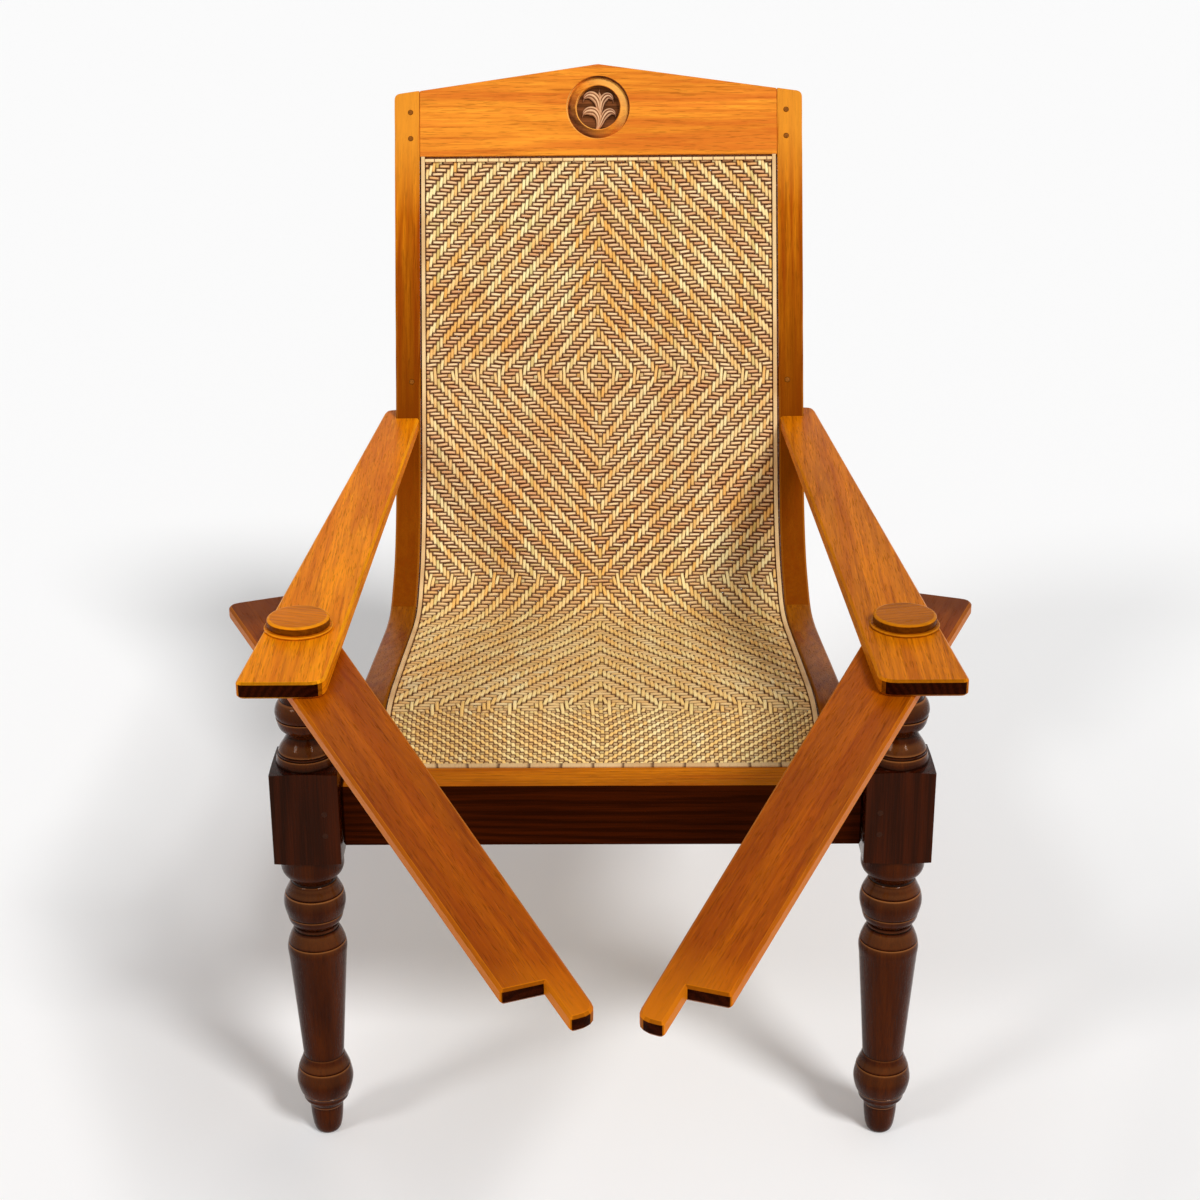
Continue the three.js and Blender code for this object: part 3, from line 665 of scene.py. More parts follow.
LEG_BLOCK = [(367, 35), (367, 36.8), (368.6, 54), (475.4, 54), (477, 36.8), (477, 33.4)]
LEG_HEAD = [
    [(477, 33.4), (480, 33.1), (483, 32.4), (487.2, 31.6)],
    [(487.7, 29.8), (488.3, 29.7), (488.8, 30.8), (490.0, 30.9), (490.5, 29.4), (491.2, 29.3)],
    [(491.7, 30.0), (494, 29.0), (497, 27.6), (501, 25.0), (505, 22.4), (508, 20.9), (510, 20.1)],
    [(510.6, 20.6), (515, 23.4), (518, 26.6), (522, 28.6), (526, 29.7), (530.3, 30.6)],
    [(530.9, 29.5), (531.8, 30.4), (536, 31.5), (540, 31.2), (545, 29.8), (549, 27.4), (551, 25.4)],
    [(551.6, 24.6), (557, 23.0), (565, 21.6), (574, 23.2), (580, 26.6)],
    [(580.6, 29.6), (585, 31.4), (590, 32.3), (595, 31.2)],
    [(595.5, 29.6), (LEG_TOP / MM, 28.2)], [(LEG_TOP / MM, 28.2), (LEG_TOP / MM, 0)],
]


class CHAIR_OT_front_legs(bpy.types.Operator):
    """Turns the front legs above and below their square blocks"""

    bl_idname = "chair.front_legs"
    bl_label = "Front legs"

    def execute(self, context):
        timber, sizes = context.scene.chair_timber, context.scene.chair_turning
        runs = [*LEG_FOOT, *([a, b] for a, b in zip(LEG_BLOCK, LEG_BLOCK[1:])), *LEG_HEAD]
        leg = turning("turned_leg", runs, sizes.steps)
        half = sizes.stock / 2
        stock = cube("stock", (-half, -half, -MM), (half, half, LEG_TOP + MM))
        with editing(stock):
            pick_edges(stock, lambda a, b: abs(a.z - b.z) > half)
            bpy.ops.mesh.bevel(offset=timber.edge, segments=2)
        combine(leg, stock, "INTERSECT")
        foot, head = LEG_BLOCK[0][0], LEG_BLOCK[-1][0]
        relief(leg, [*LEG_FOOT, [(foot, half / MM), (head, half / MM)], *LEG_HEAD[:-1]])
        mark(leg, "stain_and_shade", lambda f: 1.0 if foot < f.center.z / MM < head else 0.0)
        smooth(leg, 34)
        for name, sign in SIDES.items():
            place = Vector((sign * PIVOT.x, PIVOT.y, 0))
            centre = place + UP * 0.3 * (1 + sign * 0.2)
            finish = teak(f"turned_teak_{name}", timber.leg, UP, Vector((0.3, -1, 0)), centre, 0.14,
                          heart=(sign * 0.012, -0.02), band=0.008, contrast=1.1, shine=0.08, lacquer=0.09,
                          relief_highlight=timber.leg_edge_highlight, stain_and_shade=timber.stain_and_shade)
            fit(copied(leg, f"front_leg_turning_{name}", Matrix.Translation(place)), finish, "dark_teak",
                f"front_leg_{name}")
        bpy.data.objects.remove(leg)
        return {"FINISHED"}


class CHAIR_OT_pivot_pins(bpy.types.Operator):
    """Turns the pivot pins, each with a knob for a head"""

    bl_idname = "chair.pivot_pins"
    bl_label = "Pivot pins"

    def execute(self, context):
        timber, sizes = context.scene.chair_timber, context.scene.chair_turning
        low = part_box("pivot_pin_left")[0].z / MM
        seat = ARM_TOP / MM + 0.3
        shank, chamfer, ring = 11, 2, seat + 2.7
        rim, crown, top = sizes.knob / MM / 2, sizes.knob_top / MM / 2, ARM_TOP / MM + sizes.knob_height / MM
        runs = [
            [(low, 0), (low, shank - chamfer)], [(low, shank - chamfer), (low + chamfer, shank)],
            [(low + chamfer, shank), (seat, shank)], [(seat, shank), (seat, rim - 0.9)],
            [(seat, rim - 0.9), (seat + 0.4, rim - 0.2), (seat + 1.2, rim), (seat + 2.2, rim - 0.4),
             (ring, rim - 1.4)],
            [(ring, rim - 1.4), (ring, crown - 0.7)],
            [(ring, crown - 0.7), (seat + 4.4, crown), (top - 3.0, crown), (top - 1.4, crown - 0.5),
             (top - 0.4, crown - 1.6), (top, crown - 3.2)],
            [(top, crown - 3.2), (top + 0.2, crown * 0.5), (top + 0.3, 0)],
        ]
        pin = turning("knob", runs, sizes.steps, 0.8)
        under, over = ring + 0.2, top - 2.2
        wall = lambda f: under < f.center.z / MM < over and abs(f.normal.z) < 0.4
        mark(pin, "stain_and_shade", lambda f: 0.75 if wall(f) else 0.0)
        # Wear with a painted highlight on the knob's sloping rim and crown
        mark(pin, "wear_and_highlight", lambda f: 0.7 if 0.4 < f.normal.z < 0.985 else 0.0)
        smooth(pin, 30)
        for name, sign in SIDES.items():
            place = Vector((sign * PIVOT.x, PIVOT.y, 0))
            finish = teak(f"knob_teak_{name}", shade(timber.arm, 0.80 - 0.16 * sign), Vector((1, 0.25 * sign, 0)), UP,
                          place + UP * ARM_TOP, 0.26, heart=(0.05 * sign, -0.03), band=0.005)
            fit(copied(pin, f"pivot_knob_{name}", Matrix.Translation(place)), finish, "bright_teak",
                f"pivot_pin_{name}")
        bpy.data.objects.remove(pin)
        return {"FINISHED"}


class CHAIR_OT_boards(bpy.types.Operator):
    """Softens the edges of the arms, leaves, posts and rails and lays the grain along each"""

    bl_idname = "chair.boards"
    bl_label = "Arms, leaves, posts and rails"

    toed_in = {"left": 20.6, "right": 22.2}  # degrees from straight ahead

    def execute(self, context):
        timber = context.scene.chair_timber
        for name, sign in SIDES.items():
            toe = math.radians(self.toed_in[name])
            out = Vector((-sign * math.sin(toe), -math.cos(toe), 0))
            arm = dict(tint=shade(timber.arm, 1.08 - 0.23 * sign), along=Vector((0.03 * sign, 1, 0)), face=UP,
                       heart=(0.03 * sign, -0.04), band=0.0075, contrast=0.9, red=0.3)
            leaf = dict(tint=timber.leaf, along=out, face=UP, heart=(-0.02 * sign, -0.06), band=0.008, red=0.35,
                        shade_along=0.22)
            post = dict(tint=timber.post, along=UP_THE_BACK, face=OUT_OF_THE_BACK, heart=(0.04 * sign, -0.03),
                        band=0.006, contrast=1.2, streak=1.3, red=0.8, shade_along=0.9)
            rail = dict(tint=shade(timber.post, 0.5), along=ALONG, face=UP, heart=(0.03, -0.05), red=0.5)
            boards = {
                "arm": ("frame", "bright_teak", arm, (UP, arm["along"])),
                # A leaf's sides are lightened as painted light
                "leg_rest_leaf": (f"leaf_{name}", "bright_teak", leaf, (UP, out, 0.9)),
                "back_post": ("frame", "frame_teak", post, (ACROSS,)),
                "side_rail": ("frame", "frame_teak", rail, (ACROSS,)),
            }
            for part, (body, slot, grain, worn) in boards.items():
                node = f"{part}_{name}"
                low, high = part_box(node)
                centre = (low + high) / 2 + Vector((0, 0.013 * sign, 0))
                piece = sawn(node, timber.edge)
                mark_board(piece, *worn)
                finish = teak(f"{part}_teak_{name}", centre=centre, gloss=timber.gloss, **grain)
                fit(piece, finish, slot, node, body=body)
        rails = {
            "front_seat_rail": ("dark_teak", timber.post, -ALONG),
            "back_rail": ("frame_teak", shade(timber.post, 0.8), OUT_OF_THE_BACK),
            "rear_stretcher": ("frame_teak", shade(timber.post, 0.6), -ALONG),
        }
        for node, (slot, tint, face) in rails.items():
            low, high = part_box(node)
            finish = teak(node + "_teak", tint, ACROSS, face, (low + high) / 2, timber.gloss, heart=(0.04, -0.03),
                          red=0.4, stain_and_shade=timber.stain_and_shade)
            piece = sawn(node, timber.edge)
            if node == "front_seat_rail":
                mark(piece, "stain_and_shade", lambda f: (0.9 - f.normal.z) * 4)
            else:
                mark_board(piece, face.normalized(), ACROSS)
            fit(piece, finish, slot, node)
        return {"FINISHED"}


class CHAIR_OT_crest_rail(bpy.types.Operator):
    """Saws the crest rail to its gable, turns its roundel and carves the sprig"""

    bl_idname = "chair.crest_rail"
    bl_label = "Crest rail and carving"

    # In mm: out from the middle, up the back from BACK_FOOT, and back from the face
    half, half_back, thick = 245.7, 280.0, 27.0
    low, shoulder, peak = 360.0, 446.0, 486.0
    tenon_end, tenon_up, tenon_deep = 272.0, (376.0, 430.0), (-20.5, -6.5)
    # The roundel's centre, and the radii of its outer rim and its sunk floor
    centre, rim, floor = (0.0, 426.0), 43.0, 30.0

    def board(self):
        """The gabled board with its tenons, drawn flat: X across, Y up the back, Z to the sitter."""
        board = cube("crest", (-self.half * MM, self.low * MM, -self.thick * MM), (self.half * MM, self.peak * MM, 0))
        slope = (self.peak - self.shoulder) / self.half_back
        with editing(board):
            for sign in (1, -1):
                bpy.ops.mesh.select_all(action="SELECT")
                bpy.ops.mesh.bisect(plane_co=(0, self.peak * MM, 0), plane_no=(sign * slope, 1, 0), use_fill=True,
                                    clear_outer=True)
            bpy.ops.mesh.select_all(action="SELECT")
            bpy.ops.mesh.remove_doubles(threshold=0.01 * MM)
            pick_edges(board, lambda a, b: abs(a.z - b.z) < MM or a.y > 0.4)
            bpy.ops.mesh.bevel(offset=2.0 * MM, segments=3)
        for sign in (1, -1):
            ends = sorted((sign * (self.half - 10), sign * self.tenon_end))
            corners = np.array([ends, self.tenon_up, self.tenon_deep]).T * MM
            combine(board, cube("tenon", *corners), "UNION")
        return board

    def roundel(self, steps):
        """The cutter for the turned ring: a sunk floor, a raised inner rim and a slope down to the outer line."""
        r, f = self.rim, self.floor
        runs = [
            [(-8.6, 0), (-8.6, f - 1.2)], [(-8.6, f - 1.2), (-8.2, f - 0.3), (-7.4, f)], [(-7.4, f), (-1.4, f)],
            [(-1.4, f), (-0.9, f + 0.5), (-0.8, f + 1.2)],
            [(-0.8, f + 1.2), (-1.6, f + 3.0), (-4.0, r - 5.2), (-6.2, r - 2.0), (-6.4, r - 1.0)],
            [(-6.4, r - 1.0), (-5.8, r - 0.3), (-4.8, r)], [(-4.8, r), (-0.6, r)], [(-0.6, r), (0.8, r + 1.4)],
            [(0.8, r + 1.4), (6, r + 1.4)], [(6, r + 1.4), (6, 0)],
        ]
        cutter = turning("roundel_cutter", runs, steps, 0.9)
        return settle(cutter, Matrix.Translation((self.centre[0] * MM, self.centre[1] * MM, 0)))

    # Each leaf's spine from the roundel's centre and its half width, in mm, and the side that turns up
    leaves = [
        ([(-1.5, -29), (0.8, -22), (0.5, -13), (-4.4, -5.4), (-12, -3.6), (-18.4, -6.2), (-22.2, -12.5)], 7.2, -1),
        ([(1.6, -15), (1.6, -2), (-0.6, 9.6), (-6.4, 16.6), (-13.0, 18.0), (-18.2, 14.6), (-20.6, 8.6)], 7.0, -1),
        ([(1.6, -13), (3.4, -2), (5.6, 8.6), (10.6, 15.6), (16.0, 16.4), (20.2, 11.8), (21.2, 7.4)], 6.2, 1),
        ([(-1.0, -29), (3.6, -22), (7.6, -13), (12.4, -6.8), (18.0, -5.0), (22.6, -7.6), (24.6, -12.6)], 6.4, 1),
        ([(1.0, -20), (1.8, -8), (2.8, 4), (3.4, 14), (1.6, 22), (2.6, 26.6)], 3.2, 1),
    ]

    def leaf(self, number, spine, width, turn):
        """One curled leaf: a slab on a grid, laid along its spine, domed and ribbed."""
        activate()
        bpy.ops.mesh.primitive_grid_add(x_subdivisions=34, y_subdivisions=20, size=2)
        piece = named(f"leaf_{number}")
        with editing(piece):
            bpy.ops.mesh.extrude_region_move(TRANSFORM_OT_translate={"value": (0, 0, 1)})
        line = smooth_run(spine, 0.5)
        gone = gone_along(line)
        gone /= gone[-1]
        way = unit(np.gradient(line, axis=0))
        root, underside, proud, tilt = -8.9, -9.3, 7.0, 0.9
        light_and_shade = []
        for vertex in piece.data.vertices:
            t, u, top = (vertex.co.x + 1) / 2, vertex.co.y, vertex.co.z > 0.5
            at, go = (np.array([np.interp(t, gone, part[:, k]) for k in (0, 1)]) for part in (line, way))
            swell = 0.30 + 0.70 * math.sin(math.pi * min(1.0, t * 1.12) ** 1.5) ** 0.8 if t < 0.89 else 0.0
            swell = max(swell, 0.30 * (1 - t) ** 0.5 + 0.02)
            aside = np.array([-go[1], go[0]]) * u * width * swell * (1 + 0.1 * math.cos(9 * t))
            lift = (1 - abs(u) ** 3.2) * (0.55 + 0.45 * math.sin(math.pi * min(1, t * 1.05)))
            ribs = 0.55 * math.cos(math.pi * 3.1 * u) * math.sin(math.pi * t)
            height = root + (proud + turn * u * tilt) * lift + ribs if top else underside
            # Painted highlight on the ribs, and painted shade between them, at the leaf's edges and all over its
            # underside
            light_and_shade.append(min(0.8, ribs * 2.2 + 0.2) - 1.6 * abs(u) ** 5 if top else -1)
            vertex.co = np.array([*(at + aside + self.centre), height]) * MM
        give(piece, "relief", light_and_shade)
        with editing(piece):
            bpy.ops.mesh.normals_make_consistent(inside=False)
        return piece

    def execute(self, context):
        timber, sizes = context.scene.chair_timber, context.scene.chair_turning
        place = Matrix.Translation(BACK_FOOT) @ Matrix.Rotation(math.pi / 2 - LEAN, 4, "X")
        board = self.board()
        combine(board, self.roundel(sizes.steps), "DIFFERENCE")
        reach = lambda f: (f.center.xy / MM - Vector(self.centre)).length
        turned = lambda f: reach(f) < self.rim + 1 and 0.05 < -f.center.z / MM < 10
        # Painted light and shade on the turned ring: faces turned towards the light, up and to the right, are
        # lightened through the wear mark, and faces turned away are darkened through the stain mark. The sunk floor
        # takes a dark stain, with painted shade of its hollow.
        aside = lambda f: f.normal.x * 0.8 + f.normal.y * 0.6

        def roundel_stain_and_shade(face):
            if not turned(face):
                return 0.0
            return 1.0 if reach(face) < self.floor - 0.6 else -2.2 * aside(face)

        mark(board, "stain_and_shade", roundel_stain_and_shade)
        mark(board, "wear_and_highlight", lambda f: 1.8 * aside(f) if turned(f) else 0.0)
        smooth(board, 28)
        settle(board, place).name = "gabled_crest_rail"
        middle = place @ Vector((0, 0.42, -0.01))
        finish = teak("crest_teak", timber.crest, ACROSS, OUT_OF_THE_BACK, middle, 0.36, heart=(-0.035, -0.045),
                      band=0.0070, contrast=0.8, streak=0.8, red=0.4, stain_and_shade=timber.roundel)
        fit(board, finish, "bright_teak", "crest_rail")
        leaves = [self.leaf(k, *leaf) for k, leaf in enumerate(self.leaves)]
        activate(leaves[0])
        for leaf in leaves:
            leaf.select_set(True)
        bpy.ops.object.join()
        sprig = settle(named("carved_sprig"), place)
        smooth(sprig, 50)
        finish = teak("carved_teak", timber.carving, UP_THE_BACK, OUT_OF_THE_BACK, middle, 0.42, band=0.004,
                      contrast=0.4, streak=0.6, relief_highlight=timber.carved_rib_highlight)
        fit(sprig, finish, "bright_teak")
        return {"FINISHED"}


class CHAIR_OT_pegs(bpy.types.Operator):
    """Trims the pegs and shows their end grain"""

    bl_idname = "chair.pegs"
    bl_label = "Pegs"

    def execute(self, context):
        timber = context.scene.chair_timber
        dark = end_grain("peg_end_grain", timber.peg)
        pale = end_grain("pale_peg_end_grain", shade(timber.post, 0.30))
        for node in sorted(frame["nodes"]):
            if "_peg_" in node:
                piece = sawn(node, 0.35 * MM, limit=50)
                fit(piece, dark if node.startswith("leg") else pale, "peg_wood", node)
        return {"FINISHED"}


def seat_line():
    """The cane's top face seen from the side: places, outward directions and the length to each."""
    over_the_seat = np.array([0, 0.2466, 0.9])
    mesh = frame["nodes"]["cane_panel"].data
    corners = np.array([v.co for v in mesh.vertices])
    found = set()
    for face in mesh.polygons:
        toward = over_the_seat - corners[list(face.vertices)].mean(0)
        if abs(face.normal.x) < 0.1 and np.dot(face.normal, toward) > 0:
            found |= {(round(float(corners[v][1]), 5), round(float(corners[v][2]), 5)) for v in face.vertices}
    line = smooth_run(sorted(found), 2 * MM)
    gone = gone_along(line)
    way = unit(np.gradient(line, gone, axis=0))
    return line, np.c_[-way[:, 1], way[:, 0]], gone


class CHAIR_OT_cane(bpy.types.Operator):
    """Weaves the seat and back strand by strand in a twill that turns at the middle and three times on its way up"""

    bl_idname = "chair.cane"
    bl_label = "Woven cane"

    # Lengths up the panel at which the slope turns, half its width, and what its border leaves free of warps
    turns = (0.104, 0.6011, 0.8974)
    half, border = 0.2457, 0.003
    # How far apart the wefts lie, in shares of their pitch, at lengths up the panel
    spread = ((0.0, 0.70), (0.080, 0.75), (0.125, 1.80), (0.47, 2.00), (0.60, 1.15), (0.67, 1.0))
    # How deep the weave's middle lies under the panel's face, and how near an edge the strands stop wandering
    sunk, still = 1.8 * MM, 0.05
    # Thickness, wave and looseness of a strand
    warp_thick, warp_wave, warp_loose = 1.9 * MM, 0.86 * MM, 0.12 * MM
    weft_thick, weft_wave, weft_loose = 1.5 * MM, 0.74 * MM, 0.15 * MM

    def execute(self, context):
        cane = context.scene.chair_cane
        line, outward, gone = seat_line()
        whole, over = gone[-1], cane.float_over
        fine = np.linspace(0, whole, 6000)
        gap = np.interp(fine, *zip(*self.spread)) * cane.weft_pitch
        passed = np.cumsum(np.gradient(fine) / gap)
        wefts = int(passed[-1])
        rows = np.interp((np.arange(wefts) + 0.5) * passed[-1] / wefts, passed, fine)
        gap = np.gradient(rows)
        climb = np.ones(wefts, int)
        for low, high in ((0, self.turns[0]), (self.turns[1], self.turns[2])):
            climb[(rows >= low) & (rows < high)] = -1
        way, climb = climb, np.cumsum(climb)
        middle = int((self.half - self.border) / cane.warp_pitch)
        columns = np.arange(-middle, middle + 1)
        step = np.abs(columns)[:, None] + climb[None, :]
        # Before the fold the twill is closer, two over and one under, and it ends in a ragged line
        fold = self.turns[0] - 0.004 * (np.abs(columns)[:, None] * 2 % 5)
        on_top = np.where(rows[None, :] < fold, step % 3 < 2, step % (2 * over) < over)
        rng = np.random.default_rng(11)

        def at(s, x, h):
            """A place by its length up the chair, across it, and out from the panel's middle. Strands wander."""
            inside = np.clip((self.half - np.abs(x)) / self.still, 0, 1)
            inside = inside * np.clip(np.minimum(s, whole - s) / self.still, 0, 1)
            s, x = (s + 0.0026 * inside * np.sin(29 * x + 8 * s + 1) * np.sin(21 * s - 12 * x),
                    x + 0.0016 * inside * np.sin(37 * s + 11 * x) * np.sin(17 * x - 13 * s + 2))
            y, z, out_y, out_z = (np.interp(s, gone, part[:, k]) for part in (line, outward) for k in (0, 1))
            out = h - self.sunk
            return np.stack([x, y + out_y * out, z + out_z * out], -1)

        # Each strand: where it is on top, its crossings, its laying, its ends, width, thickness and wave, the side
        # that it shows on, a tone and hue of its own, and how its floats lean
        jobs = {}
        for k, column in enumerate(columns):
            side = "left" if column > 0 else "right"
            x = column * cane.warp_pitch + rng.normal(0, self.warp_loose)
            jobs.setdefault(f"warp_{side}", []).append((
                on_top[k], rows, lambda s, a, h, x=x: at(s, x + a, h), (0, whole), cane.warp_width, self.warp_thick,
                self.warp_wave, 1, (0.9, 0.05) if column == 0 else None, -np.sign(column) * way * 0.15))
        across = columns * cane.warp_pitch
        for k, row in enumerate(rows):
            part = "seat" if k < wefts // 2 else "back"
            s = row + rng.normal(0, self.weft_loose)
            width = cane.weft_width * min(1.8, gap[k] / cane.weft_pitch)
            jobs.setdefault(f"weft_{part}", []).append((
                ~on_top[:, k], across, lambda a, b, h, s=s: at(s + b, a, h), (-self.half, self.half), width,
                self.weft_thick, self.weft_wave, -1, None, np.zeros(len(columns))))
        finishes = {
            "warp": strand_finish("warp_cane", cane.warp_colour, cane.warp_shade, cane.hollow_shade, cane.warp_side, False),
            "weft": strand_finish("weft_cane", cane.weft_colour, cane.weft_shade, cane.hollow_shade, cane.weft_side, True),
        }
        for name, strands in jobs.items():
            piece = self.woven(f"cane_{name}", strands, rng)
            fit(piece, finishes[name[:4]], "woven_cane", *(["cane_panel"] if name == "warp_left" else []))
        return {"FINISHED"}

    def woven(self, name, strands, rng):
        """One mesh of strands, each a flattened tube of six sides that dives under and over."""
        places, faces, lies, tints, first = [], [], [], [], 0
        slim, dive = 0.92, 0.42
        for number, (states, knots, lay, ends, width, thick, wave, facing, fixed, leans) in enumerate(strands):
            crown = 0.34 if facing > 0 else 0.27
            corners = np.array([(-0.5, 0), (-crown, 0.5), (crown, 0.5), (0.5, 0), (crown, -0.5), (-crown, -0.5)])
            pitches = np.gradient(knots)
            cuts = np.flatnonzero(np.diff(states.astype(int))) + 1
            rings = []
            strand_tone, hue = fixed or (rng.uniform(0, 0.6) - 0.7 * (rng.uniform() < 0.12), rng.uniform())
            for a, b in zip(np.r_[0, cuts], np.r_[cuts, len(states)]):
                sign = 1 if states[a] else -1
                half_way = (a + b - 1) // 2
                low, high, pitch = knots[a], knots[b - 1], pitches[half_way]
                middle, lean = (low + high) / 2, (rng.normal(0, 0.06) - leans[half_way]) * width
                tone = float(np.clip(strand_tone + rng.uniform(-0.3, 0.6), 0, 1))
                into, out = low - dive * pitch, high + dive * pitch
                # Rings of a float: how far along, how high, how wide, how dark with painted shade where it dives, and
                # how far aside
                if b - a == 1:
                    shape = [(low - 0.3 * pitch, 0.7, 1.0, 0.3, 0), (low + 0.3 * pitch, 0.7, 1.0, 0.3, 0)]
                elif sign > 0:
                    arch = 1 + 0.9 * (pitch / pitches[-1] - 1) if facing > 0 and pitch > pitches[-1] else 1
                    shape = [(into, 0.4, 1.16, 0.9, lean), (low - 0.08 * pitch, arch, slim - 0.08, 0.06, lean),
                             (middle, 1.25 * arch, slim, 0.0, 0),
                             (high + 0.08 * pitch, arch, slim - 0.08, 0.06, -lean), (out, 0.4, 1.16, 0.9, -lean)]
                else:
                    shape = [(into, 0.4, 1.18, 0.9, lean), (middle, 1.1, 1.12, 0.0, 0), (out, 0.4, 1.18, 0.9, -lean)]
                rings += [(spot, sign * lift, swell, dark, shift, tone) for spot, lift, swell, dark, shift in shape]
            stretch, rise, swell, depth, shift, tone = np.array(rings).T
            stretch = np.clip(np.maximum.accumulate(stretch), ends[0], ends[1])
            stretch[0], stretch[-1] = ends
            swell = swell * rng.normal(1, 0.02, len(swell))
            count = len(stretch)
            aside = (corners[None, :, 0] * width) * swell[:, None] + (shift * np.sign(rise))[:, None]
            lift = rise[:, None] * wave + corners[None, :, 1] * thick
            # Painted shade on the faces turned into the weave, and on the rings where a float dives
            hidden = (np.sign(corners[None, :, 1]) * np.sign(rise[:, None]) < 0) * 1.0
            crevice = np.clip(np.maximum(depth[:, None], hidden), 0, 1)
            along = np.repeat(stretch, 6)
            places.append(lay(along, aside.ravel(), lift.ravel()))
            tints.append(np.stack([np.repeat(tone, 6), np.full(count * 6, hue), crevice.ravel()], -1))
            lies.append(np.stack([along, np.tile((0, 1, 2, 3, 2, 1), count), np.full(count * 6, number * 3.7)], -1))
            ring = first + np.arange(count - 1)[:, None] * 6
            k = np.arange(6)[None, :]
            quads = np.stack([ring + k, ring + 6 + k, ring + 6 + (k + 1) % 6, ring + (k + 1) % 6], -1).reshape(-1, 4)
            last = first + (count - 1) * 6
            caps = [first + np.array([3, 2, 1, 0]), first + np.array([5, 4, 3, 0]),
                    last + np.array([0, 1, 2, 3]), last + np.array([0, 3, 4, 5])]
            block = np.vstack([quads, caps])
            faces.append(block if facing > 0 else block[:, ::-1])
            first += count * 6
        mesh = bpy.data.meshes.new(name)
        mesh.from_pydata(np.vstack(places), [], np.vstack(faces))
        for key, value in (("lie", lies), ("tint", tints)):
            values = np.vstack(value).astype(np.float32).ravel()
            mesh.attributes.new(key, "FLOAT_VECTOR", "POINT").data.foreach_set("vector", values)
        mesh.shade_smooth()
        mesh.validate()
        piece = linked(name, mesh)
        with editing(piece):
            bpy.ops.mesh.normals_make_consistent(inside=False)
        return piece


class CHAIR_OT_binding(bpy.types.Operator):
    """Lays a strip of split cane over each edge of the weave"""

    bl_idname = "chair.binding"
    bl_label = "Binding cane"

    # Each edge's tone, how many strands apart it wraps, and how much slimmer than the solid it is
    edges = {
        "left": (1.0, 0, (4.8 / 7, 1, 1)),
        "right": (1.0, 0, (4.8 / 7, 1, 1)),
        "front": (0.85, 7, (1, 0.7, 1)),
        "top": (1.25, 3, (1, 0.6, 0.6)),
    }

    def execute(self, context):
        cane = context.scene.chair_cane
        for edge, (tone, wraps, slimmer) in self.edges.items():
            node = f"cane_beading_{edge}"
            low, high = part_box(node)
            inner = Vector((high.x if edge == "right" else low.x, low.y, low.z))
            piece = merged(node, "binding_" + edge)
            with editing(piece):
                bpy.ops.mesh.tris_convert_to_quads(face_threshold=math.radians(5), shape_threshold=math.radians(180))
                bpy.ops.transform.resize(value=slimmer, center_override=inner)
            apply_modifier(piece, "BEVEL", width=1.2 * MM, segments=3, limit_method="ANGLE",
                           angle_limit=math.radians(40))
            smooth(piece, 60)
            finish = binding_finish(f"binding_{edge}", shade(cane.binding, tone), wraps * cane.warp_pitch)
            fit(piece, finish, "beading_cane", node)
        return {"FINISHED"}


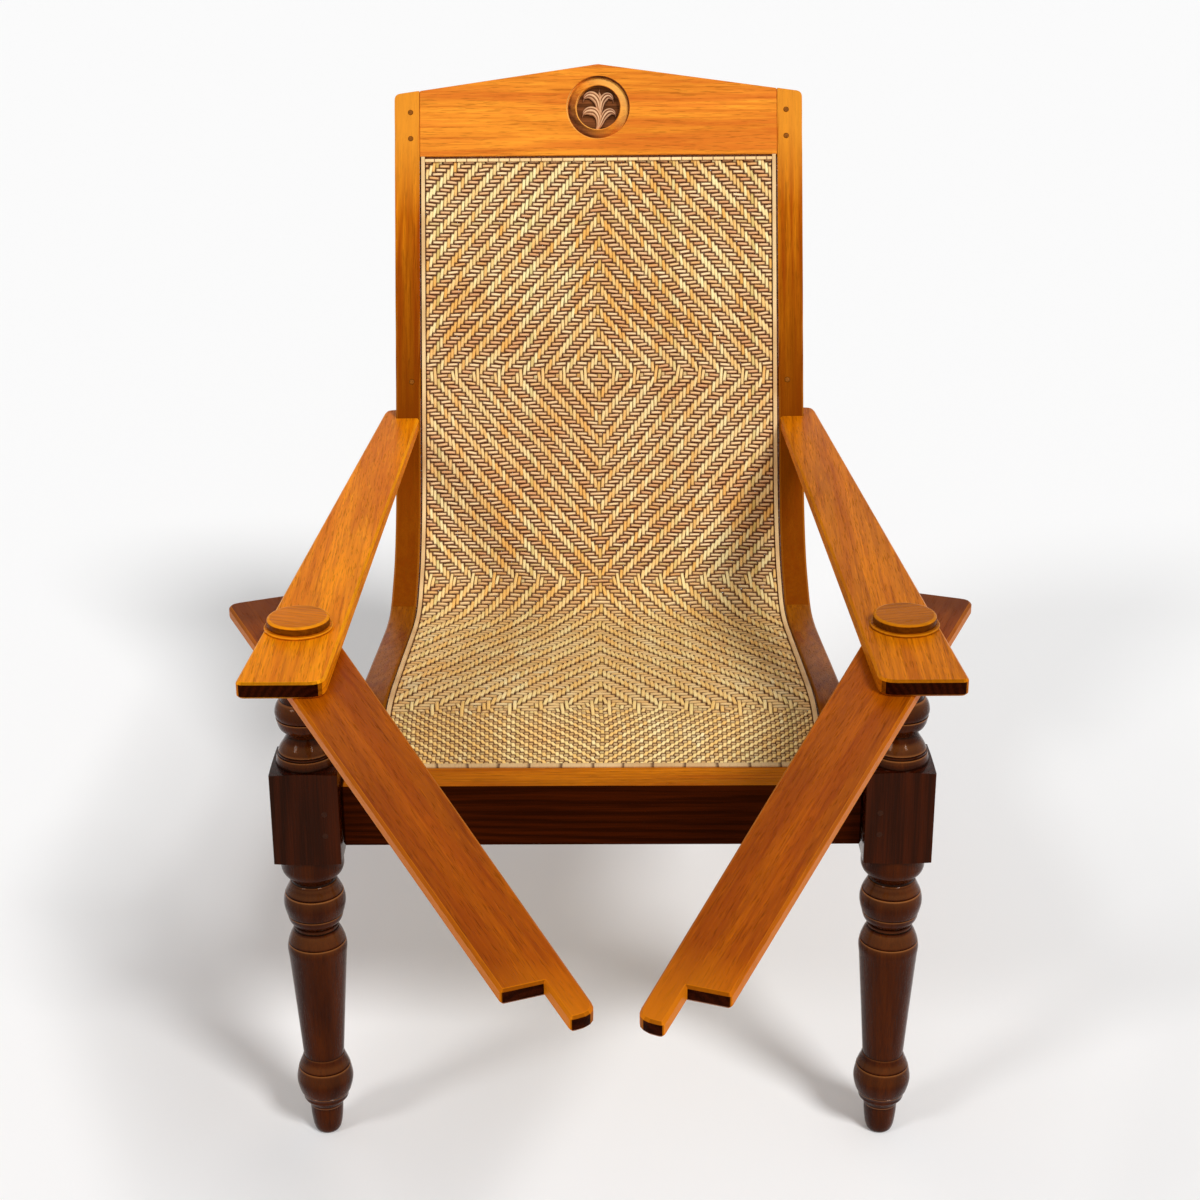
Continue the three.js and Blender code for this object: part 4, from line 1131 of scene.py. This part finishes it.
class CHAIR_OT_stage(bpy.types.Operator):
    """Sets the floor, the two lamps, the room light and the camera"""

    bl_idname = "chair.stage"
    bl_label = "Stage"

    # The camera as solved from the photograph: how it is turned in degrees, its place, and its shift in frames
    yaw, pitch, roll = -1.089, 21.996, 0.676
    eye = Vector((-0.0021, -2.2551, 1.5326))
    shift = 40 / 1200

    def lamp(self, name, toward, softness, strength):
        """A far lamp, so that floor and chair are lit evenly. Softness is its width in degrees."""
        lamp = linked(name, bpy.data.lights.new(name, "SUN"))
        lamp.data.angle = math.radians(softness)
        lamp.data.energy = strength
        lamp.location = Vector(toward) * 3
        lamp.rotation_euler = Vector(toward).to_track_quat("Z", "Y").to_euler()

    def execute(self, context):
        stage = context.scene.chair_stage
        activate()
        bpy.ops.mesh.primitive_plane_add(size=60, location=(0, 0, 0))
        floor = named("floor")
        with editing(floor):
            bpy.ops.mesh.subdivide(number_cuts=3)
        material, hub, shader = blank("pale_floor")
        cloud = noise(hub, own_place(hub), (1.5, 1.5, 1.5), 2.0)
        feed(hub, shader, Base_Color=rgb(stage.floor), Roughness=0.85 + cloud * 0.1, Specular_IOR_Level=0.1)
        floor.data.materials.append(material)

        world = bpy.data.worlds.new("room")
        world.use_nodes = True
        hub = Wire(world.node_tree)
        rays = [hub.node("LightPath", {}, out=f"Is {kind} Ray") for kind in ("Camera", "Glossy", "Transmission")]
        seen = hub.math("MAXIMUM", hub.math("MAXIMUM", rays[0], rays[1]), rays[2])
        room = hub.node("Background", {"Color": (1, 1, 1, 1), "Strength": seen * (1 - stage.ambient) + stage.ambient})
        hub.put(room, world.node_tree.nodes["World Output"].inputs["Surface"])
        context.scene.world = world

        self.lamp("key", (0.40, -0.58, 0.71), 16, stage.key)
        self.lamp("fill", (-0.60, -0.50, 0.62), 14, stage.fill)

        yaw, pitch, roll = (math.radians(v) for v in (self.yaw, self.pitch, self.roll))
        right = Vector((math.cos(yaw), -math.sin(yaw), 0))
        up = Vector((math.sin(yaw) * math.sin(pitch), math.cos(yaw) * math.sin(pitch), math.cos(pitch)))
        ahead = Vector((math.sin(yaw) * math.cos(pitch), math.cos(yaw) * math.cos(pitch), -math.sin(pitch)))
        x = right * math.cos(roll) - up * math.sin(roll)
        y = up * math.cos(roll) + right * math.sin(roll)
        camera = linked("camera", bpy.data.cameras.new("camera"))
        camera.matrix_world = Matrix.Translation(self.eye) @ Matrix((x, y, -ahead)).transposed().to_4x4()
        camera.data.sensor_width = 36
        camera.data.lens = stage.lens
        camera.data.shift_x = self.shift
        context.scene.camera = camera
        context.scene.view_settings.view_transform = "Standard"
        return {"FINISHED"}


OPERATORS = (
    CHAIR_OT_front_legs, CHAIR_OT_pivot_pins, CHAIR_OT_boards, CHAIR_OT_crest_rail, CHAIR_OT_pegs, CHAIR_OT_cane,
    CHAIR_OT_binding, CHAIR_OT_stage,
)
GROUPS = {
    "chair_timber": ChairTimber, "chair_turning": ChairTurning, "chair_cane": ChairCane, "chair_stage": ChairStage,
}


class CHAIR_PT_panel(bpy.types.Panel):
    """Lists the steps and the settings of the chair"""

    bl_idname = "CHAIR_PT_panel"
    bl_label = "Planter's Chair"
    bl_space_type = "VIEW_3D"
    bl_region_type = "UI"
    bl_category = "Chair"

    def draw(self, context):
        for operator in OPERATORS:
            self.layout.operator(operator.bl_idname)
        for name, group in GROUPS.items():
            box = self.layout.box()
            box.label(text=group.__doc__)
            for key in group.__annotations__:
                box.prop(getattr(context.scene, name), key)


def register():
    for kind in (*GROUPS.values(), *OPERATORS, CHAIR_PT_panel):
        bpy.utils.register_class(kind)
    for name, group in GROUPS.items():
        setattr(bpy.types.Scene, name, PointerProperty(type=group))


def unregister():
    for name in GROUPS:
        delattr(bpy.types.Scene, name)
    for kind in (CHAIR_PT_panel, *OPERATORS, *GROUPS.values()):
        bpy.utils.unregister_class(kind)


def main():
    register()
    bpy.ops.chair.stage()
    bpy.ops.chair.front_legs()
    bpy.ops.chair.pivot_pins()
    bpy.ops.chair.boards()
    bpy.ops.chair.crest_rail()
    bpy.ops.chair.pegs()
    bpy.ops.chair.cane()
    bpy.ops.chair.binding()


if __name__ == "__main__":
    main()
